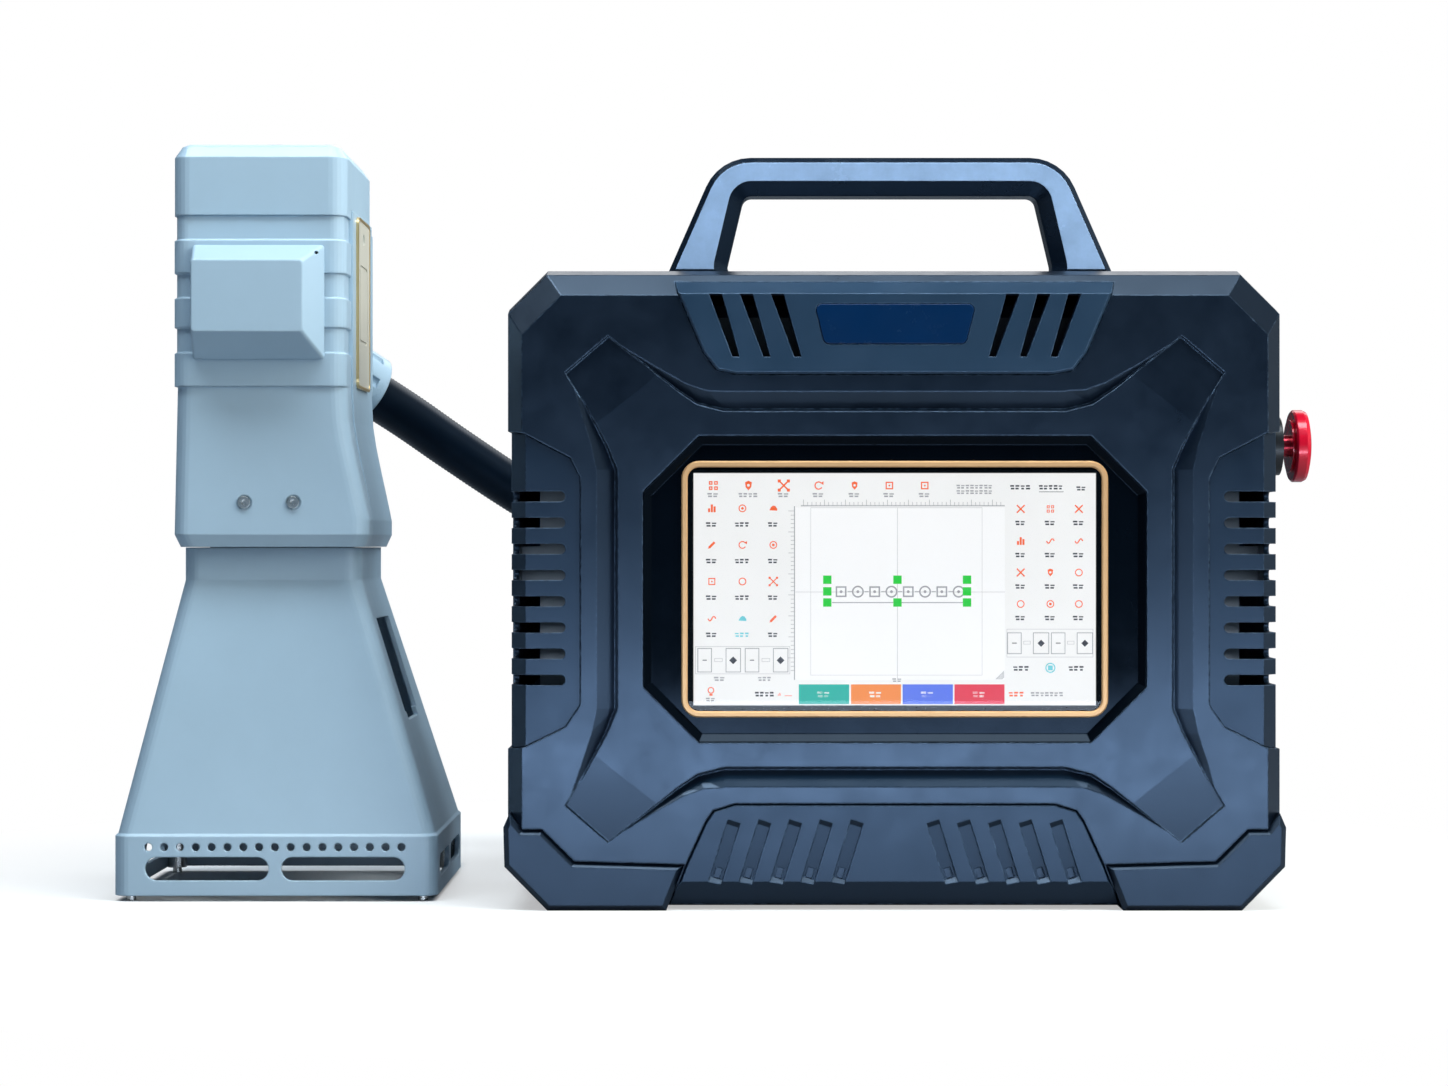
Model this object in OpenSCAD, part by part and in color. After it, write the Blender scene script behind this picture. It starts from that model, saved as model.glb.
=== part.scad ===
// Laser marking machine: a controller case with a touch screen, a handheld marking head that stands
// on its hood, and the ribbed hose between them. The origin is under the middle of the two, on the floor.
// The case and the head each have their own centre line, and every place is worked out from it.

/* [Case] */
// Width of the controller case
case_w = 434; // [424:1:444]
// Height of the controller case, without its handle
case_h = 359.5; // [352:0.5:368]
// Depth of the controller case
case_d = 150; // [146:1:160]
// Depth of the front shell, the rest is the rear shell
split_d = 104; // [100:1:108]
// Wall of the two shells
case_wall = 3.5; // [3:0.25:4]
// Thickness of the moulded front face
face_t = 11; // [10.5:0.25:12]
// Depth of the relief channels that cross the front
relief_depth = 5.5; // [4:0.5:6]

/* [Screen] */
// Width of the octagonal bezel on each side of the display frame
bezel_side = 21.15; // [18:0.05:23]
// Height of the bezel above and below the display frame
bezel_top = 13.75; // [12:0.05:15]
// Width of the display frame
frame_w = 238.7; // [234:0.1:242]
// Height of the display frame
frame_h = 143.5; // [140:0.1:146]
// Width of the metal band round the glass
frame_band = 3.5; // [2.5:0.5:4.5]

/* [Handle] */
// Width of the carry handle over its feet
handle_w = 256.4; // [250:0.2:262]
// Height of the handle above the case
handle_h = 67.5; // [62:0.5:72]
// Thickness of the handle from front to back
handle_d = 32; // [28:1:36]
// Height of the bar that the hand holds
handle_bar = 21.5; // [20:0.5:23]

/* [Emergency stop] */
// Diameter of the mushroom head
stop_d = 42; // [38:1:44]
// How far the head stands out of the side of the case
stop_reach = 29; // [28:0.5:34]
// Travel of the head when it is pressed
stop_travel = 5; // [3:0.5:5]

/* [Cooling] */
// Size of the square fans
fan_size = 80; // [76:1:84]
// Thickness of the fans
fan_t = 25; // [20:1:28]

/* [Marking head] */
// Distance between the centre lines of the case and of the head
head_spacing = 353; // [350:1:380]
// Distance of the centre of the head behind the front of the case
head_set = 122; // [110:1:130]
// Width of the hood at its foot
hood_w = 186; // [180:1:192]
// Depth of the hood at its foot
hood_d = 160; // [154:1:166]
// Wall of the hood
hood_wall = 3; // [2.5:0.25:3.5]
// Width of the upper body
body_w = 100; // [98:1:104]
// Depth of the upper body
body_d = 124; // [122:1:130]
// Wall of the shells of the head
head_wall = 3; // [2.5:0.25:3.5]
// Height of the head over all
head_h = 436; // [430:1:442]
// Height of the body and its skirt over the neck of the hood
body_h = 233; // [230:0.5:236]
// How far the rear grip reaches behind the centre of the head
grip_reach = 122; // [118:1:128]
// Travel of the trigger
trigger_travel = 3; // [2:0.5:3.5]

/* [Hose] */
// Outer diameter of the hose
hose_d = 30; // [28:0.5:31]
// Bore of the hose
hose_bore = 23; // [20:0.5:23]

/* [Hidden] */
// Sides of true arcs
$fn = 64;
// Overrun of cuts through a face
over = 2;
// Seam between neighbouring mouldings
seam = 0.3;
// Clearance of a running fit, on the radius
run_gap = 0.06;

// Case mouldings
case_lift = 2;
corner_cut = 22;
side_bevel = 8.5;
top_bevel = 15.5;
crown_drop = 3.2;
bevel_d = 11;
crown_d = 22;
low_bevel = 13.6;
low_cut = 24;
rear_bevel = 6;
rear_bevel_d = 6;
inner_bevel = 6;
inner_bevel_d = 15;
insert_proud = 2;
insert_seat = 7.5;
insert_edge = 1.2;
vent_dip = 2;
vent_t = 3;
vent_side_d = 50;
slot_w = 5.8;
slot_side_d = 30;
slot_count = 8;
guard_t = 12;
guard_face_t = 8;
guard_proud = 0.8;
guard_edge = 3;
guard_foot_share = 0.589;
guard_end_share = 0.5433;
guard_end_h = 25.7;
// Outline of a corner guard from its foot up: how far past the side of the case, and how high
guard_points = [[-22.6, 0], [1.4, 24.45], [2, 46.4], [-1.4, 54.3], [-8.7, 45.3], [-19.7, 45.3],
    [-37.8, 27.4]];
guard_tiles = [[7, 8, 0, 1], [1, 2, 5, 6, 7], [2, 3, 4, 5]];
badge_t = 0.8;
badge_r = 3.4;

// Outline of the mouldings on the front, as shares of half the width and of the height, right half,
// from the bottom up
bottom_shares = [[0.579, 0.0075], [0.538, 0.0715], [0.487, 0.139], [0.4685, 0.1555], [0.412, 0.166]];
top_shares = [[0.408, 0.8345], [0.4585, 0.8406], [0.493, 0.868], [0.5570, 0.9590], [0.5668, 0.9795]];
badge_shares = [[0.1816, 0.881], [0.2074, 0.943]];
vent_shares = [[0.811, 0.320], [0.850, 0.286], [0.955, 0.255], [1.05, 0.2465], [1.05, 0.7505],
    [0.955, 0.741], [0.837, 0.704], [0.811, 0.673]];
relief_valley_share = 0.14;
slot_ends_share = [0.3585, 0.6442];
slot_tip_share = 0.8627;
screen_mid_share = 0.5;

// Relief channels, from the tip of an arm to the middle: outer edge, inner edge, depth.
// The places are shares of half the width and of half the height, from the middle of the screen.
flat_relief_shares = [
    [[0.737, 0.786], [0.7275, 0.777], -0.05], [[0.623, 0.698], [0.633, 0.686], 0.36],
    [[0.543, 0.6437], [0.560, 0.6155], 0.72], [[0.4917, 0.622], [0.510, 0.574], 0.95],
    [[0.4378, 0.6192], [0.4392, 0.5519], 1]];
tall_relief_shares = [
    [[0.848, 0.671], [0.834, 0.664], -0.05], [[0.812, 0.548], [0.781, 0.5405], 0.5],
    [[0.786, 0.452], [0.739, 0.4465], 0.85], [[0.7724, 0.372], [0.7129, 0.372], 1]];
// The dips between the ends of the channels: the far edge, the near edge, the depth
arm_dip_shares = [[[0.848, 0.671], [0.739, 0.4465], 0.42], [[0.737, 0.786], [0.560, 0.6155], 0.42]];

// Grooves of the bottom panel and slots of the top panel
groove_count = 5;
groove_pitch_share = 0.0793;
groove_w = 7.3;
groove_cut = 3;
groove_hole_h = 6;
groove_top_share = [0.096, 0.1413];
groove_low_share = [0.143, 0.0500];
top_slot_count = 3;
top_slot_share = [0.4622, 0.9588];
low_slot_share = [0.4092, 0.861];
top_slot_w = 7.3;
low_slot_w = 3.9;

// Screen stack
bezel_cut = 31;
bezel_rim = 4.5;
bezel_t = 6;
bezel_dip = 3.5;
frame_r = 10;
frame_t = 2.2;
frame_round = 0.7;
glass_t = 1.7;
glass_ledge = 3;
display_t = 6.5;
display_margin = 12;
board_w = 190;
board_h = 112;
board_t = 1.6;
board_gap = 9;
post_d = 7;
chip_t = 7;

// Handle
handle_set = 44;
handle_top_w = 197;
opening_low_w = 190;
opening_top_w = 168;
opening_floor = 0.4;
handle_edge = 3.2;
handle_roll = 8;
handle_roll_d = 8;
handle_fillet = 28;
opening_fillet = 5.5;
handle_steps = 6;
// Inner edge of the handle, from its faces inwards: shares of the roll and of its depth
roll_shares = [[1, 0], [0.94, 0.1], [0.16, 0.84], [0, 1]];

// Emergency stop, along the side of the case
stop_set = 72;
stop_z_share = 0.729;
stop_collar_d = 34;
stop_collar_t = 11;
stop_bore_d = 13;
stop_hole_d = 22.4;
stop_thread_l = 20;
stop_nut_d = 30;
stop_nut_t = 5;
stop_block = 30;
stop_neck_d = 31;
stop_head_t = 11;
stop_dome = 3;

// Inner parts of the case
plate_set = 52;
plate_t = 2;
plate_margin = 12;
plate_slot_w = 60;
plate_slot_h = 30;
laser_w = 220;
laser_h = 126;
laser_d = 72;
fin_count = 12;
fin_t = 2.5;
fin_h = 14;
supply_w = 200;
supply_h = 110;
supply_d = 50;
supply_x_share = -0.4;
supply_z_share = 0.47;
supply_vents = 9;
supply_vent_w = 4;
fan_x_share = 0.42;
fan_z_share = 0.64;
fan_bore_share = 0.475;
fan_hub_share = 0.22;
fan_screw_share = 0.4;
fan_pin_d = 6;
fan_arm_w = 5;
fan_blades = 7;
fan_blade_t = 2;
fan_blade_tilt = 35;
fan_screw_d = 4.4;
guard_wire_d = 2.6;
guard_rings = 4;
rear_gap = 0.6;

// Rear fittings
inlet_x_share = 0.74;
inlet_z_share = 0.28;
inlet_w = 27.5;
inlet_h = 20;
inlet_flange_w = 48;
inlet_flange_h = 27;
inlet_flange_t = 2.5;
inlet_l = 24;
socket_w = 22.5;
socket_h = 14;
socket_l = 17;
blade_w = 2;
blade_h = 4;
blade_l = 13;
blade_pitch = 7;
switch_z_share = 0.42;
switch_w = 28;
switch_h = 21;
switch_t = 2.5;
switch_l = 18;
rocker_w = 18;
rocker_h = 13;
rocker_pin_d = 3;
rocker_tilt = 9;
rocker_rise = 5;
key_z_share = 0.56;
key_d = 19;
key_flange_d = 24;
key_flange_t = 4;
key_l = 26;
key_slot_d = 8;
key_bow_d = 22;
key_bow_t = 2.4;
key_blade_l = 14;
gland_x = 188;
gland_z = 75;
gland_l = 33.6;
gland_d = 46;
gland_foot_t = 8;
gland_thread_d = 32;
gland_thread_l = 12;
gland_lobes = 8;
lobe_d = 7;
screw_d = 8;
screw_l = 30;
screw_sink = 4;
screw_hex = 4.6;
screw_x_share = 0.93;
screw_z_shares = [0.33, 0.56, 0.8];

// Hood of the head
foot_h = 3.3;
foot_d = 5.6;
hood_r = 9;
hood_band = 34;
hood_ledge = 1.5;
hood_taper_drop = 19;
window_z_share = 0.7283;
neck_w = 103;
neck_d = 110;
neck_shift = -5;
slot_h = 13.5;
slot_l = 71;
slot_gap = 7;
slot_low = 8.7;
side_slot_l = 60;
vent_hole_d = 4.6;
vent_hole_count = 17;
vent_hole_pitch = 9.07;
vent_hole_z = 27.9;
window_w = 62;
window_h = 55;
window_y = -9;
window_step = 5;

// Body of the head
body_shift = -10.4;
body_front = 72;
body_r = 9;
body_steps = 6;
cap_drop = 41.5;
slab_rise = 5;
cap_bevel = 8;
cap_r = 10;
band_dip = 1.4;
band_edge = 0.8;
band_shares = [0, 0.192, 0.345, 0.513, 0.663, 0.8525, 1];
skirt_h = 93;
skirt_foot = 7.5;
skirt_foot_in = 3;
skirt_flare = 13;
skirt_in = 1.6;
skirt_rear = 5;
// The skirt from its top down: shares of its height over the foot, and of its flare
skirt_shares = [[1, 0], [0.77, 0.08], [0.62, 0.24], [0.48, 0.44], [0.2, 0.86], [0.1, 1], [0, 1]];
body_split = 60;
slab_start = 25;
slab_proud = 1.2;
cover_w = 75.6;
cover_h = 65.4;
// How far the face of the galvo cover is drawn in on the left, below, on the right and above
cover_in = [2.4, 13.9, 9.4, 10.1];
cover_reach = 22;
cover_drop = 91.7;
cover_r = 1.8;
cover_screw_d = 3.6;
plate_w = 56;
plate_h = 101;
plate_r = 5;
side_plate_t = 1.2;
side_plate_y = -5.6;
side_plate_drop = 88.5;
trim_w = 1.6;
plate_hole_d = 7;
plate_frame_w = 34;
plate_frame_h = 46;
skirt_screw_rise = 26;
skirt_screw_x = 14.1;
skirt_screw_mid = -4.7;
skirt_screw_d = 7;
skirt_screw_sink = 8.6;
skirt_screw_t = 2.4;

// Grip, trigger and gland of the head
grip_w = 34;
grip_rise = 0.5;
grip_bar = 26;
grip_top_bar = 20;
grip_r = 10;
housing_h = 43;
housing_w = 70;
housing_shift = -5;
trigger_w = 14;
trigger_h = 28;
trigger_t = 7;
trigger_deep = 8;
trigger_drop = 44;
head_gland_x = 8;
head_gland_set = 30;
gland_dir = [12, 9, -8];

// Optics of the head
beam_x = -7;
beam_y = -3;
beam_drop = 92;
beam_step = 17;
block_w = 58;
block_d = 48;
block_h = 54;
chamber = 32;
motor_d = 26;
motor_l = 56;
mirror_w = 13;
mirror_l = 18;
mirror_t = 2;
shaft_d = 5;
shaft_l = 9;
collimator_d = 22;
lens_d = 86;
lens_l = 56;
lens_drop = 17;
lens_plate_t = 7;
lens_plate_in = 1.2;
lens_plate_r = 7;
lens_neck_share = 0.6;
lens_glass_d = 70;
lens_glass_t = 8;
driver_w = 70;
driver_h = 80;
driver_t = 1.6;
driver_set = 8;
driver_rise = 4;

// Route of the hose from the head, by its own points, on the floor from the last two on
stretch_route = [
    [-221, 101, 302], [-197, 119, 286], [-169, 136, 266], [-132, 150, 241], [-91, 157, 216],
    [-45, 158, 188], [0, 153, 160], [45, 147, 134], [85, 141, 111], [117, 138, 94], [148, 142, 78],
    [178, 154, 63], [203, 174, 51], [222, 199, 41], [233, 228, 33], [239, 260, 24], [234, 292, 18],
    [222, 321, 15], [207, 347, 15]];
tail_route = [
    [-88, 255, 15], [-88, 228, 18], [-88, 201, 27], [-88, 174, 45], [-88, 147, 63], [-88, 120, 72],
    [-88, 93, 75], [-88, 63, 75]];
coil_middle = [100, 285];
coil_start = [192, 373];
coil_end_r = 188;
coil_pitch = 31.2;
coil_dip = 17.4;
coil_dip_turn = 135;
coil_first_turn = 60;
coil_last_turn = 540;
coil_step = 15;
hose_sides = 8;
coil_sides = 6;
rib_cut = 1.3;
ribs_per_span = 12;
ribbed_spans = 9;

// Places that follow
case_x = (head_spacing + hood_w / 2 - case_w / 2 - stop_reach) / 2;
case_y = -(head_set + grip_reach - insert_proud) / 2;
head_x = case_x - head_spacing;
head_y = case_y + head_set;
screen_z = case_h * screen_mid_share;
half_w = case_w / 2;
neck_h = head_h - body_h;
hood_taper_h = neck_h - hood_taper_drop;
window_z = hood_taper_h * window_z_share;
skirt_top = neck_h + skirt_h;
skirt_screw_z = neck_h + skirt_screw_rise;
lens_low = neck_h - lens_drop;
cover_z = head_h - cover_drop;
side_plate_z = head_h - side_plate_drop;
beam_z = head_h - beam_drop;
driver_z = skirt_top + driver_rise;
grip_low = skirt_top + grip_rise;
trigger_z = head_h - trigger_drop;
bezel_w = frame_w + 2 * bezel_side;
bezel_h = frame_h + 2 * bezel_top;
cap_low = head_h - cap_drop;
body_left = body_shift - body_w / 2;
body_right = body_shift + body_w / 2;
body_back = body_d - body_front;
head_gland_at = [head_gland_x, body_back + head_gland_set, grip_low + housing_h / 2];
collimator_l = body_back - head_wall - beam_y - chamber / 2;
slab_x = body_right + slab_proud;
fan_x = half_w * fan_x_share;
fan_z = case_h * fan_z_share;
fan_rear = case_d - case_wall;
fan_bore = fan_size * fan_bore_share;
fan_hub = fan_size * fan_hub_share;
stop_z = case_h * stop_z_share;

// Vectors, outlines and skins

function unit(v) = v / norm(v);

// Both halves of an outline that is given by its right half, from the bottom up
function mirrored(half) =
    concat(half, [for (i = [len(half) - 1:-1:0]) [-half[i][0], half[i][1]]]);

// An outline of shares on the front of the case, in real size
function on_case(shares) = [for (s = shares) [s[0] * half_w, s[1] * case_h]];

// An outline that runs counter-clockwise, grown by g
function grown(pts, g) = [
    for (i = [0:len(pts) - 1])
        let (a = pts[(i + len(pts) - 1) % len(pts)], b = pts[i], c = pts[(i + 1) % len(pts)],
            u = unit(b - a), v = unit(c - b), n1 = [u[1], -u[0]], n2 = [v[1], -v[0]])
            b + g * (n1 + n2) / (1 + n1 * n2)];

// The arc that rounds corner b between a and c with radius r
function corner_arc(a, b, c, r, steps) =
    let (u = unit(b - a), v = unit(c - b), turn = atan2(u[0] * v[1] - u[1] * v[0], u * v),
        side = sign(turn), start = b - u * r * tan(abs(turn) / 2), mid = start + side * r * [-u[1], u[0]],
        d = start - mid)
        [for (i = [0:steps]) let (t = turn * i / steps)
            mid + [d[0] * cos(t) - d[1] * sin(t), d[0] * sin(t) + d[1] * cos(t)]];

// An outline with its corners rounded, each by its own radius
function filleted(pts, radii, steps) = [
    for (i = [0:len(pts) - 1])
        each radii[i] == 0 ? [pts[i]] : corner_arc(pts[(i + len(pts) - 1) % len(pts)], pts[i],
            pts[(i + 1) % len(pts)], radii[i], steps)];

// A rectangle from two corners, its corners rounded
function round_box(low, high, r, steps) =
    filleted([low, [high[0], low[1]], high, [low[0], high[1]]], [r, r, r, r], steps);

// An outline on the front, at depth y
function front_ring(pts, y) = [for (p = pts) [p[0], y, p[1]]];

// An outline seen from above, at height z
function level_ring(pts, z) = [for (p = pts) [p[0], p[1], z]];

function ring_sides(n, rows) = [
    for (i = [0:rows - 2], j = [0:n - 1])
        let (a = i * n + j, b = i * n + (j + 1) % n)
            each [[a, b, b + n], [a, b + n, a + n]]];

// A closed skin through rings of equal count, each counter-clockwise to one who looks along the row,
// its two ends laid out in convex tiles
module tiled_skin(rings, tiles) {
    n = len(rings[0]);
    rows = len(rings);
    first = [for (t = tiles) [for (k = [len(t) - 1:-1:0]) t[k]]];
    last = [for (t = tiles) [for (k = t) (rows - 1) * n + k]];
    polyhedron([for (r = rings) each r], concat(first, ring_sides(n, rows), last));
}

module skin(rings) {
    tiled_skin(rings, [[for (j = [0:len(rings[0]) - 1]) j]]);
}

// A plate with an outline on the front, from depth y0 to y1
module front_plate(pts, y0, y1) {
    translate([0, y1, 0]) rotate([90, 0, 0]) linear_extrude(y1 - y0) polygon(pts);
}

// A plate with an outline in the side view, its points are depth and height, from x0 to x1
module side_plate_of(pts, x0, x1) {
    translate([x0, 0, 0]) rotate([90, 0, 90]) linear_extrude(x1 - x0) polygon(pts);
}

module box_of(low, high) {
    translate(low) cube(high - low);
}

// A cylinder towards the back, from depth y0 to y1
module rod_y(d, y0, y1) {
    translate([0, y0, 0]) rotate([-90, 0, 0]) cylinder(d = d, h = y1 - y0);
}

// A cylinder to the right, from x0 to x1
module rod_x(d, x0, x1) {
    translate([x0, 0, 0]) rotate([0, 90, 0]) cylinder(d = d, h = x1 - x0);
}

// A cylinder up, from z0 to z1
module rod_z(d, z0, z1) {
    translate([0, 0, z0]) cylinder(d = d, h = z1 - z0);
}

module at_case() {
    translate([case_x, case_y, 0]) children();
}

module at_head() {
    translate([head_x, head_y, 0]) children();
}

module both_sides() {
    children();
    mirror([1, 0, 0]) children();
}

// Case

// The outline of the case, drawn in at its sides, top and bottom
function case_ring(side_in, top_in, low_in) =
    let (w = half_w - side_in, t = case_h - top_in, b = case_lift + low_in)
        mirrored([[w - low_cut, b], [w, b + low_cut], [w, t - corner_cut], [w - corner_cut, t]]);

// The outside of both shells, drawn in all round by g
module case_body(g) {
    skin([
        front_ring(case_ring(side_bevel + g, top_bevel + g, low_bevel + g), g),
        front_ring(case_ring(g, crown_drop + g, g), bevel_d + g / 2),
        front_ring(case_ring(g, g, g), crown_d + g / 2),
        front_ring(case_ring(g, g, g), case_d - rear_bevel_d),
        front_ring(case_ring(rear_bevel + g, rear_bevel + g, rear_bevel + g), case_d - g)]);
}

// The hollow of the case, between the front face and the rear wall
module case_hollow() {
    wall = case_wall;
    front = wall + inner_bevel;
    skin([
        front_ring(case_ring(front, front + crown_drop, front), face_t),
        front_ring(case_ring(wall, wall, wall), face_t + inner_bevel_d),
        front_ring(case_ring(wall, wall, wall), case_d - rear_bevel_d - wall),
        front_ring(case_ring(wall + rear_bevel, wall + rear_bevel, wall + rear_bevel), case_d - wall)]);
}

guard_outline = concat([[guard_foot_share * half_w, 0]], [for (p = guard_points) p + [half_w, 0]],
    [[guard_end_share * half_w, guard_end_h]]);
vent_outline = on_case(vent_shares);
top_outline = mirrored(on_case(top_shares));
bottom_outline = mirrored(on_case(bottom_shares));

// The room of the right corner guard, grown by g
module guard_room(g) {
    difference() {
        front_plate(grown(guard_outline, g), -over, case_d + over);
        translate([-guard_t, 0, guard_t])
            front_plate(grown(guard_outline, -g), guard_face_t + g, case_d - guard_face_t - g);
    }
}

module vent_room(g) {
    intersection() {
        front_plate(grown(vent_outline, g), -over, vent_side_d + g);
        box_of([half_w / 2, -over, 0], [case_w, case_d, case_h]);
    }
}

// One slot of the side vents, round the edge of the case, and wider by g all round
module vent_slot(z, g) {
    tip = slot_tip_share * half_w;
    w = slot_w + 2 * g;
    translate([tip, 0, z]) {
        rod_y(w, -over, slot_side_d);
        box_of([0, -over, -w / 2], [half_w - tip + over, slot_side_d, w / 2]);
        translate([0, slot_side_d, 0]) rod_x(w, 0, half_w - tip + over);
    }
}

function slot_z(i) =
    case_h * (slot_ends_share[0] + (slot_ends_share[1] - slot_ends_share[0]) * i / (slot_count - 1));

module vent_slots(g) {
    for (i = [0:slot_count - 1]) vent_slot(slot_z(i), g);
}

// A channel of the relief: each row gives its outer edge, its inner edge and its depth, and the valley
// lies a share of the way from the inner edge to the outer edge
module relief_channel(rows, valley) {
    lip = over / 2;
    skin([for (r = rows)
        let (outer = r[0], inner = r[1], depth = r[2] * relief_depth, out = unit(outer - inner))
            [[outer[0] + out[0] * lip, -lip, outer[1] + out[1] * lip],
            [inner[0] - out[0] * lip / 8, -lip, inner[1] - out[1] * lip / 8],
            [inner[0] + (outer[0] - inner[0]) * valley, depth,
                inner[1] + (outer[1] - inner[1]) * valley]]]);
}

function relief_row(r, sx, sz) = [
    [sx * r[0][0] * half_w, screen_z + sz * r[0][1] * screen_z],
    [sx * r[1][0] * half_w, screen_z + sz * r[1][1] * screen_z], r[2]];

module relief() {
    n = len(flat_relief_shares) - 1;
    m = len(tall_relief_shares) - 1;
    for (s = [-1, 1]) {
        relief_channel(concat([for (i = [0:n]) relief_row(flat_relief_shares[i], s, s)],
            [for (i = [n:-1:0]) relief_row(flat_relief_shares[i], -s, s)]), relief_valley_share);
        relief_channel(concat([for (i = [0:m]) relief_row(tall_relief_shares[i], s, -s)],
            [for (i = [m:-1:0]) relief_row(tall_relief_shares[i], s, s)]), relief_valley_share);
        relief_channel([for (i = [0, 1]) relief_row(arm_dip_shares[i], s, s)], 1);
        relief_channel([for (i = [1, 0]) relief_row(arm_dip_shares[i], s, -s)], 1);
    }
}

function octagon(w, h, cut) = [for (p = mirrored([
    [w / 2 - cut, -h / 2], [w / 2, -h / 2 + cut], [w / 2, h / 2 - cut], [w / 2 - cut, h / 2]]))
        p + [0, screen_z]];

bezel_outline = octagon(bezel_w, bezel_h, bezel_cut);
display_w = frame_w - display_margin;
display_h = frame_h - display_margin;

module at_screen() {
    translate([0, 0, screen_z]) children();
}

module centred_plate(w, h, y0, y1) {
    at_screen() translate([-w / 2, y0, -h / 2]) cube([w, y1 - y0, h]);
}

module top_slots() {
    for (i = [0:top_slot_count - 1]) {
        shift = i * (top_slot_share[0] - low_slot_share[0]) * half_w * 1.5;
        x1 = top_slot_share[0] * half_w - shift;
        x0 = low_slot_share[0] * half_w - shift;
        z1 = top_slot_share[1] * case_h;
        z0 = low_slot_share[1] * case_h;
        front_plate([[x0 - low_slot_w / 2, z0], [x0 + low_slot_w / 2, z0], [x1 + top_slot_w / 2, z1],
            [x1 - top_slot_w / 2, z1]], -insert_proud - over, face_t + crown_d);
    }
}

module front_shell() {
    color([0.09, 0.12, 0.22])
    at_case() difference() {
        intersection() {
            case_body(0);
            box_of([-case_w, -over, 0], [case_w, split_d, case_h + over]);
        }
        difference() {
            case_hollow();
            both_sides() guard_room(case_wall);
        }
        both_sides() {
            guard_room(seam);
            difference() {
                vent_room(seam);
                case_body(vent_dip + vent_t);
            }
            vent_slots(seam);
            top_slots();
        }
        relief();
        front_plate(grown(bezel_outline, seam), -over, bezel_t);
        centred_plate(display_w + display_margin, display_h + display_margin,
            bezel_t - over, face_t + over);
        front_plate(grown(top_outline, seam), -over, insert_seat);
        front_plate(grown(bottom_outline, seam), -over, insert_seat);
        translate([0, stop_set, stop_z]) rod_x(stop_hole_d, half_w - case_wall - over, half_w + over);
    }
}

module case_screw_places() {
    both_sides() for (s = screw_z_shares)
        translate([half_w * screw_x_share, 0, case_h * s]) children();
}

module rear_shell() {
    color([0.09, 0.12, 0.22])
    at_case() difference() {
        union() {
            difference() {
                intersection() {
                    case_body(0);
                    box_of([-case_w, split_d, 0], [case_w, 2 * case_d, case_h + over]);
                }
                difference() {
                    case_hollow();
                    both_sides() guard_room(case_wall);
                }
            }
            case_screw_places() rod_y(screw_d + 2 * case_wall, split_d, case_d - rear_bevel_d);
            both_sides() for (s = screw_z_shares)
                translate([half_w * screw_x_share, split_d, case_h * s - case_wall])
                    cube([half_w * (1 - screw_x_share) - case_wall / 2, case_d - split_d - rear_bevel_d,
                        2 * case_wall]);
        }
        case_screw_places() {
            rod_y(screw_d / 2 + seam, split_d - over, case_d + over);
            rod_y(screw_d + 2 * seam, case_d - screw_sink, case_d + over);
        }
        both_sides() {
            guard_room(seam);
            translate([fan_x, 0, fan_z]) {
                rod_y(2 * fan_bore, case_d - case_wall - over, case_d + over);
                fan_screw_holes(case_d - case_wall - over, case_d + over);
            }
        }
        rear_opening(inlet_z_share, inlet_w, inlet_h);
        rear_opening(switch_z_share, rocker_w + 2 * case_wall, rocker_h + 2 * case_wall);
        translate([half_w * inlet_x_share, 0, case_h * key_z_share])
            rod_y(key_d + 2 * seam, case_d - case_wall - over, case_d + over);
        translate([-gland_x, 0, gland_z])
            rod_y(gland_thread_d + 2 * seam, case_d - case_wall - over, case_d + over);
    }
}

module rear_opening(z_share, w, h) {
    translate([half_w * inlet_x_share, case_d - case_wall, case_h * z_share])
        translate([-w / 2 - seam, -over, -h / 2 - seam])
            cube([w + 2 * seam, case_wall + 2 * over, h + 2 * seam]);
}

module fan_screw_holes(y0, y1) {
    for (x = [-1, 1], z = [-1, 1])
        translate([x * fan_size * fan_screw_share, 0, z * fan_size * fan_screw_share])
            rod_y(fan_screw_d, y0, y1);
}

module top_vent_panel() {
    rise = top_shares[4][1] * case_h;
    knee = top_shares[3][1] * case_h;
    color([0.10, 0.14, 0.25])
    at_case() difference() {
        intersection() {
            skin([
                front_ring(grown(top_outline, -insert_edge), -insert_proud),
                front_ring(top_outline, -insert_proud + insert_edge),
                front_ring(top_outline, insert_seat)]);
            side_plate_of([[-insert_proud - over, 0], [-insert_proud, knee], [insert_seat, rise],
                [insert_seat, 0]], -half_w, half_w);
        }
        both_sides() top_slots();
        front_plate(grown(badge_outline(), seam), -insert_proud - over, -insert_proud + badge_t);
    }
}

function badge_outline() =
    filleted(mirrored(on_case(badge_shares)), [badge_r, badge_r, badge_r, badge_r], 5);

module badge_plate() {
    y0 = -insert_proud - badge_t / 2;
    color([0.02, 0.10, 0.34])
    at_case() skin([
        front_ring(grown(badge_outline(), -badge_t / 2), y0),
        front_ring(badge_outline(), y0 + badge_t / 2),
        front_ring(badge_outline(), -insert_proud + badge_t)]);
}

module groove_places() {
    both_sides() for (i = [0:groove_count - 1]) {
        shift = i * groove_pitch_share * half_w;
        top = [groove_top_share[0] * half_w + shift, groove_top_share[1] * case_h];
        low = [groove_low_share[0] * half_w + shift, groove_low_share[1] * case_h];
        lean = atan2(low[0] - top[0], top[1] - low[1]);
        translate([low[0], 0, low[1]]) rotate([0, -lean, 0]) groove(norm(top - low));
    }
}

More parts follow.
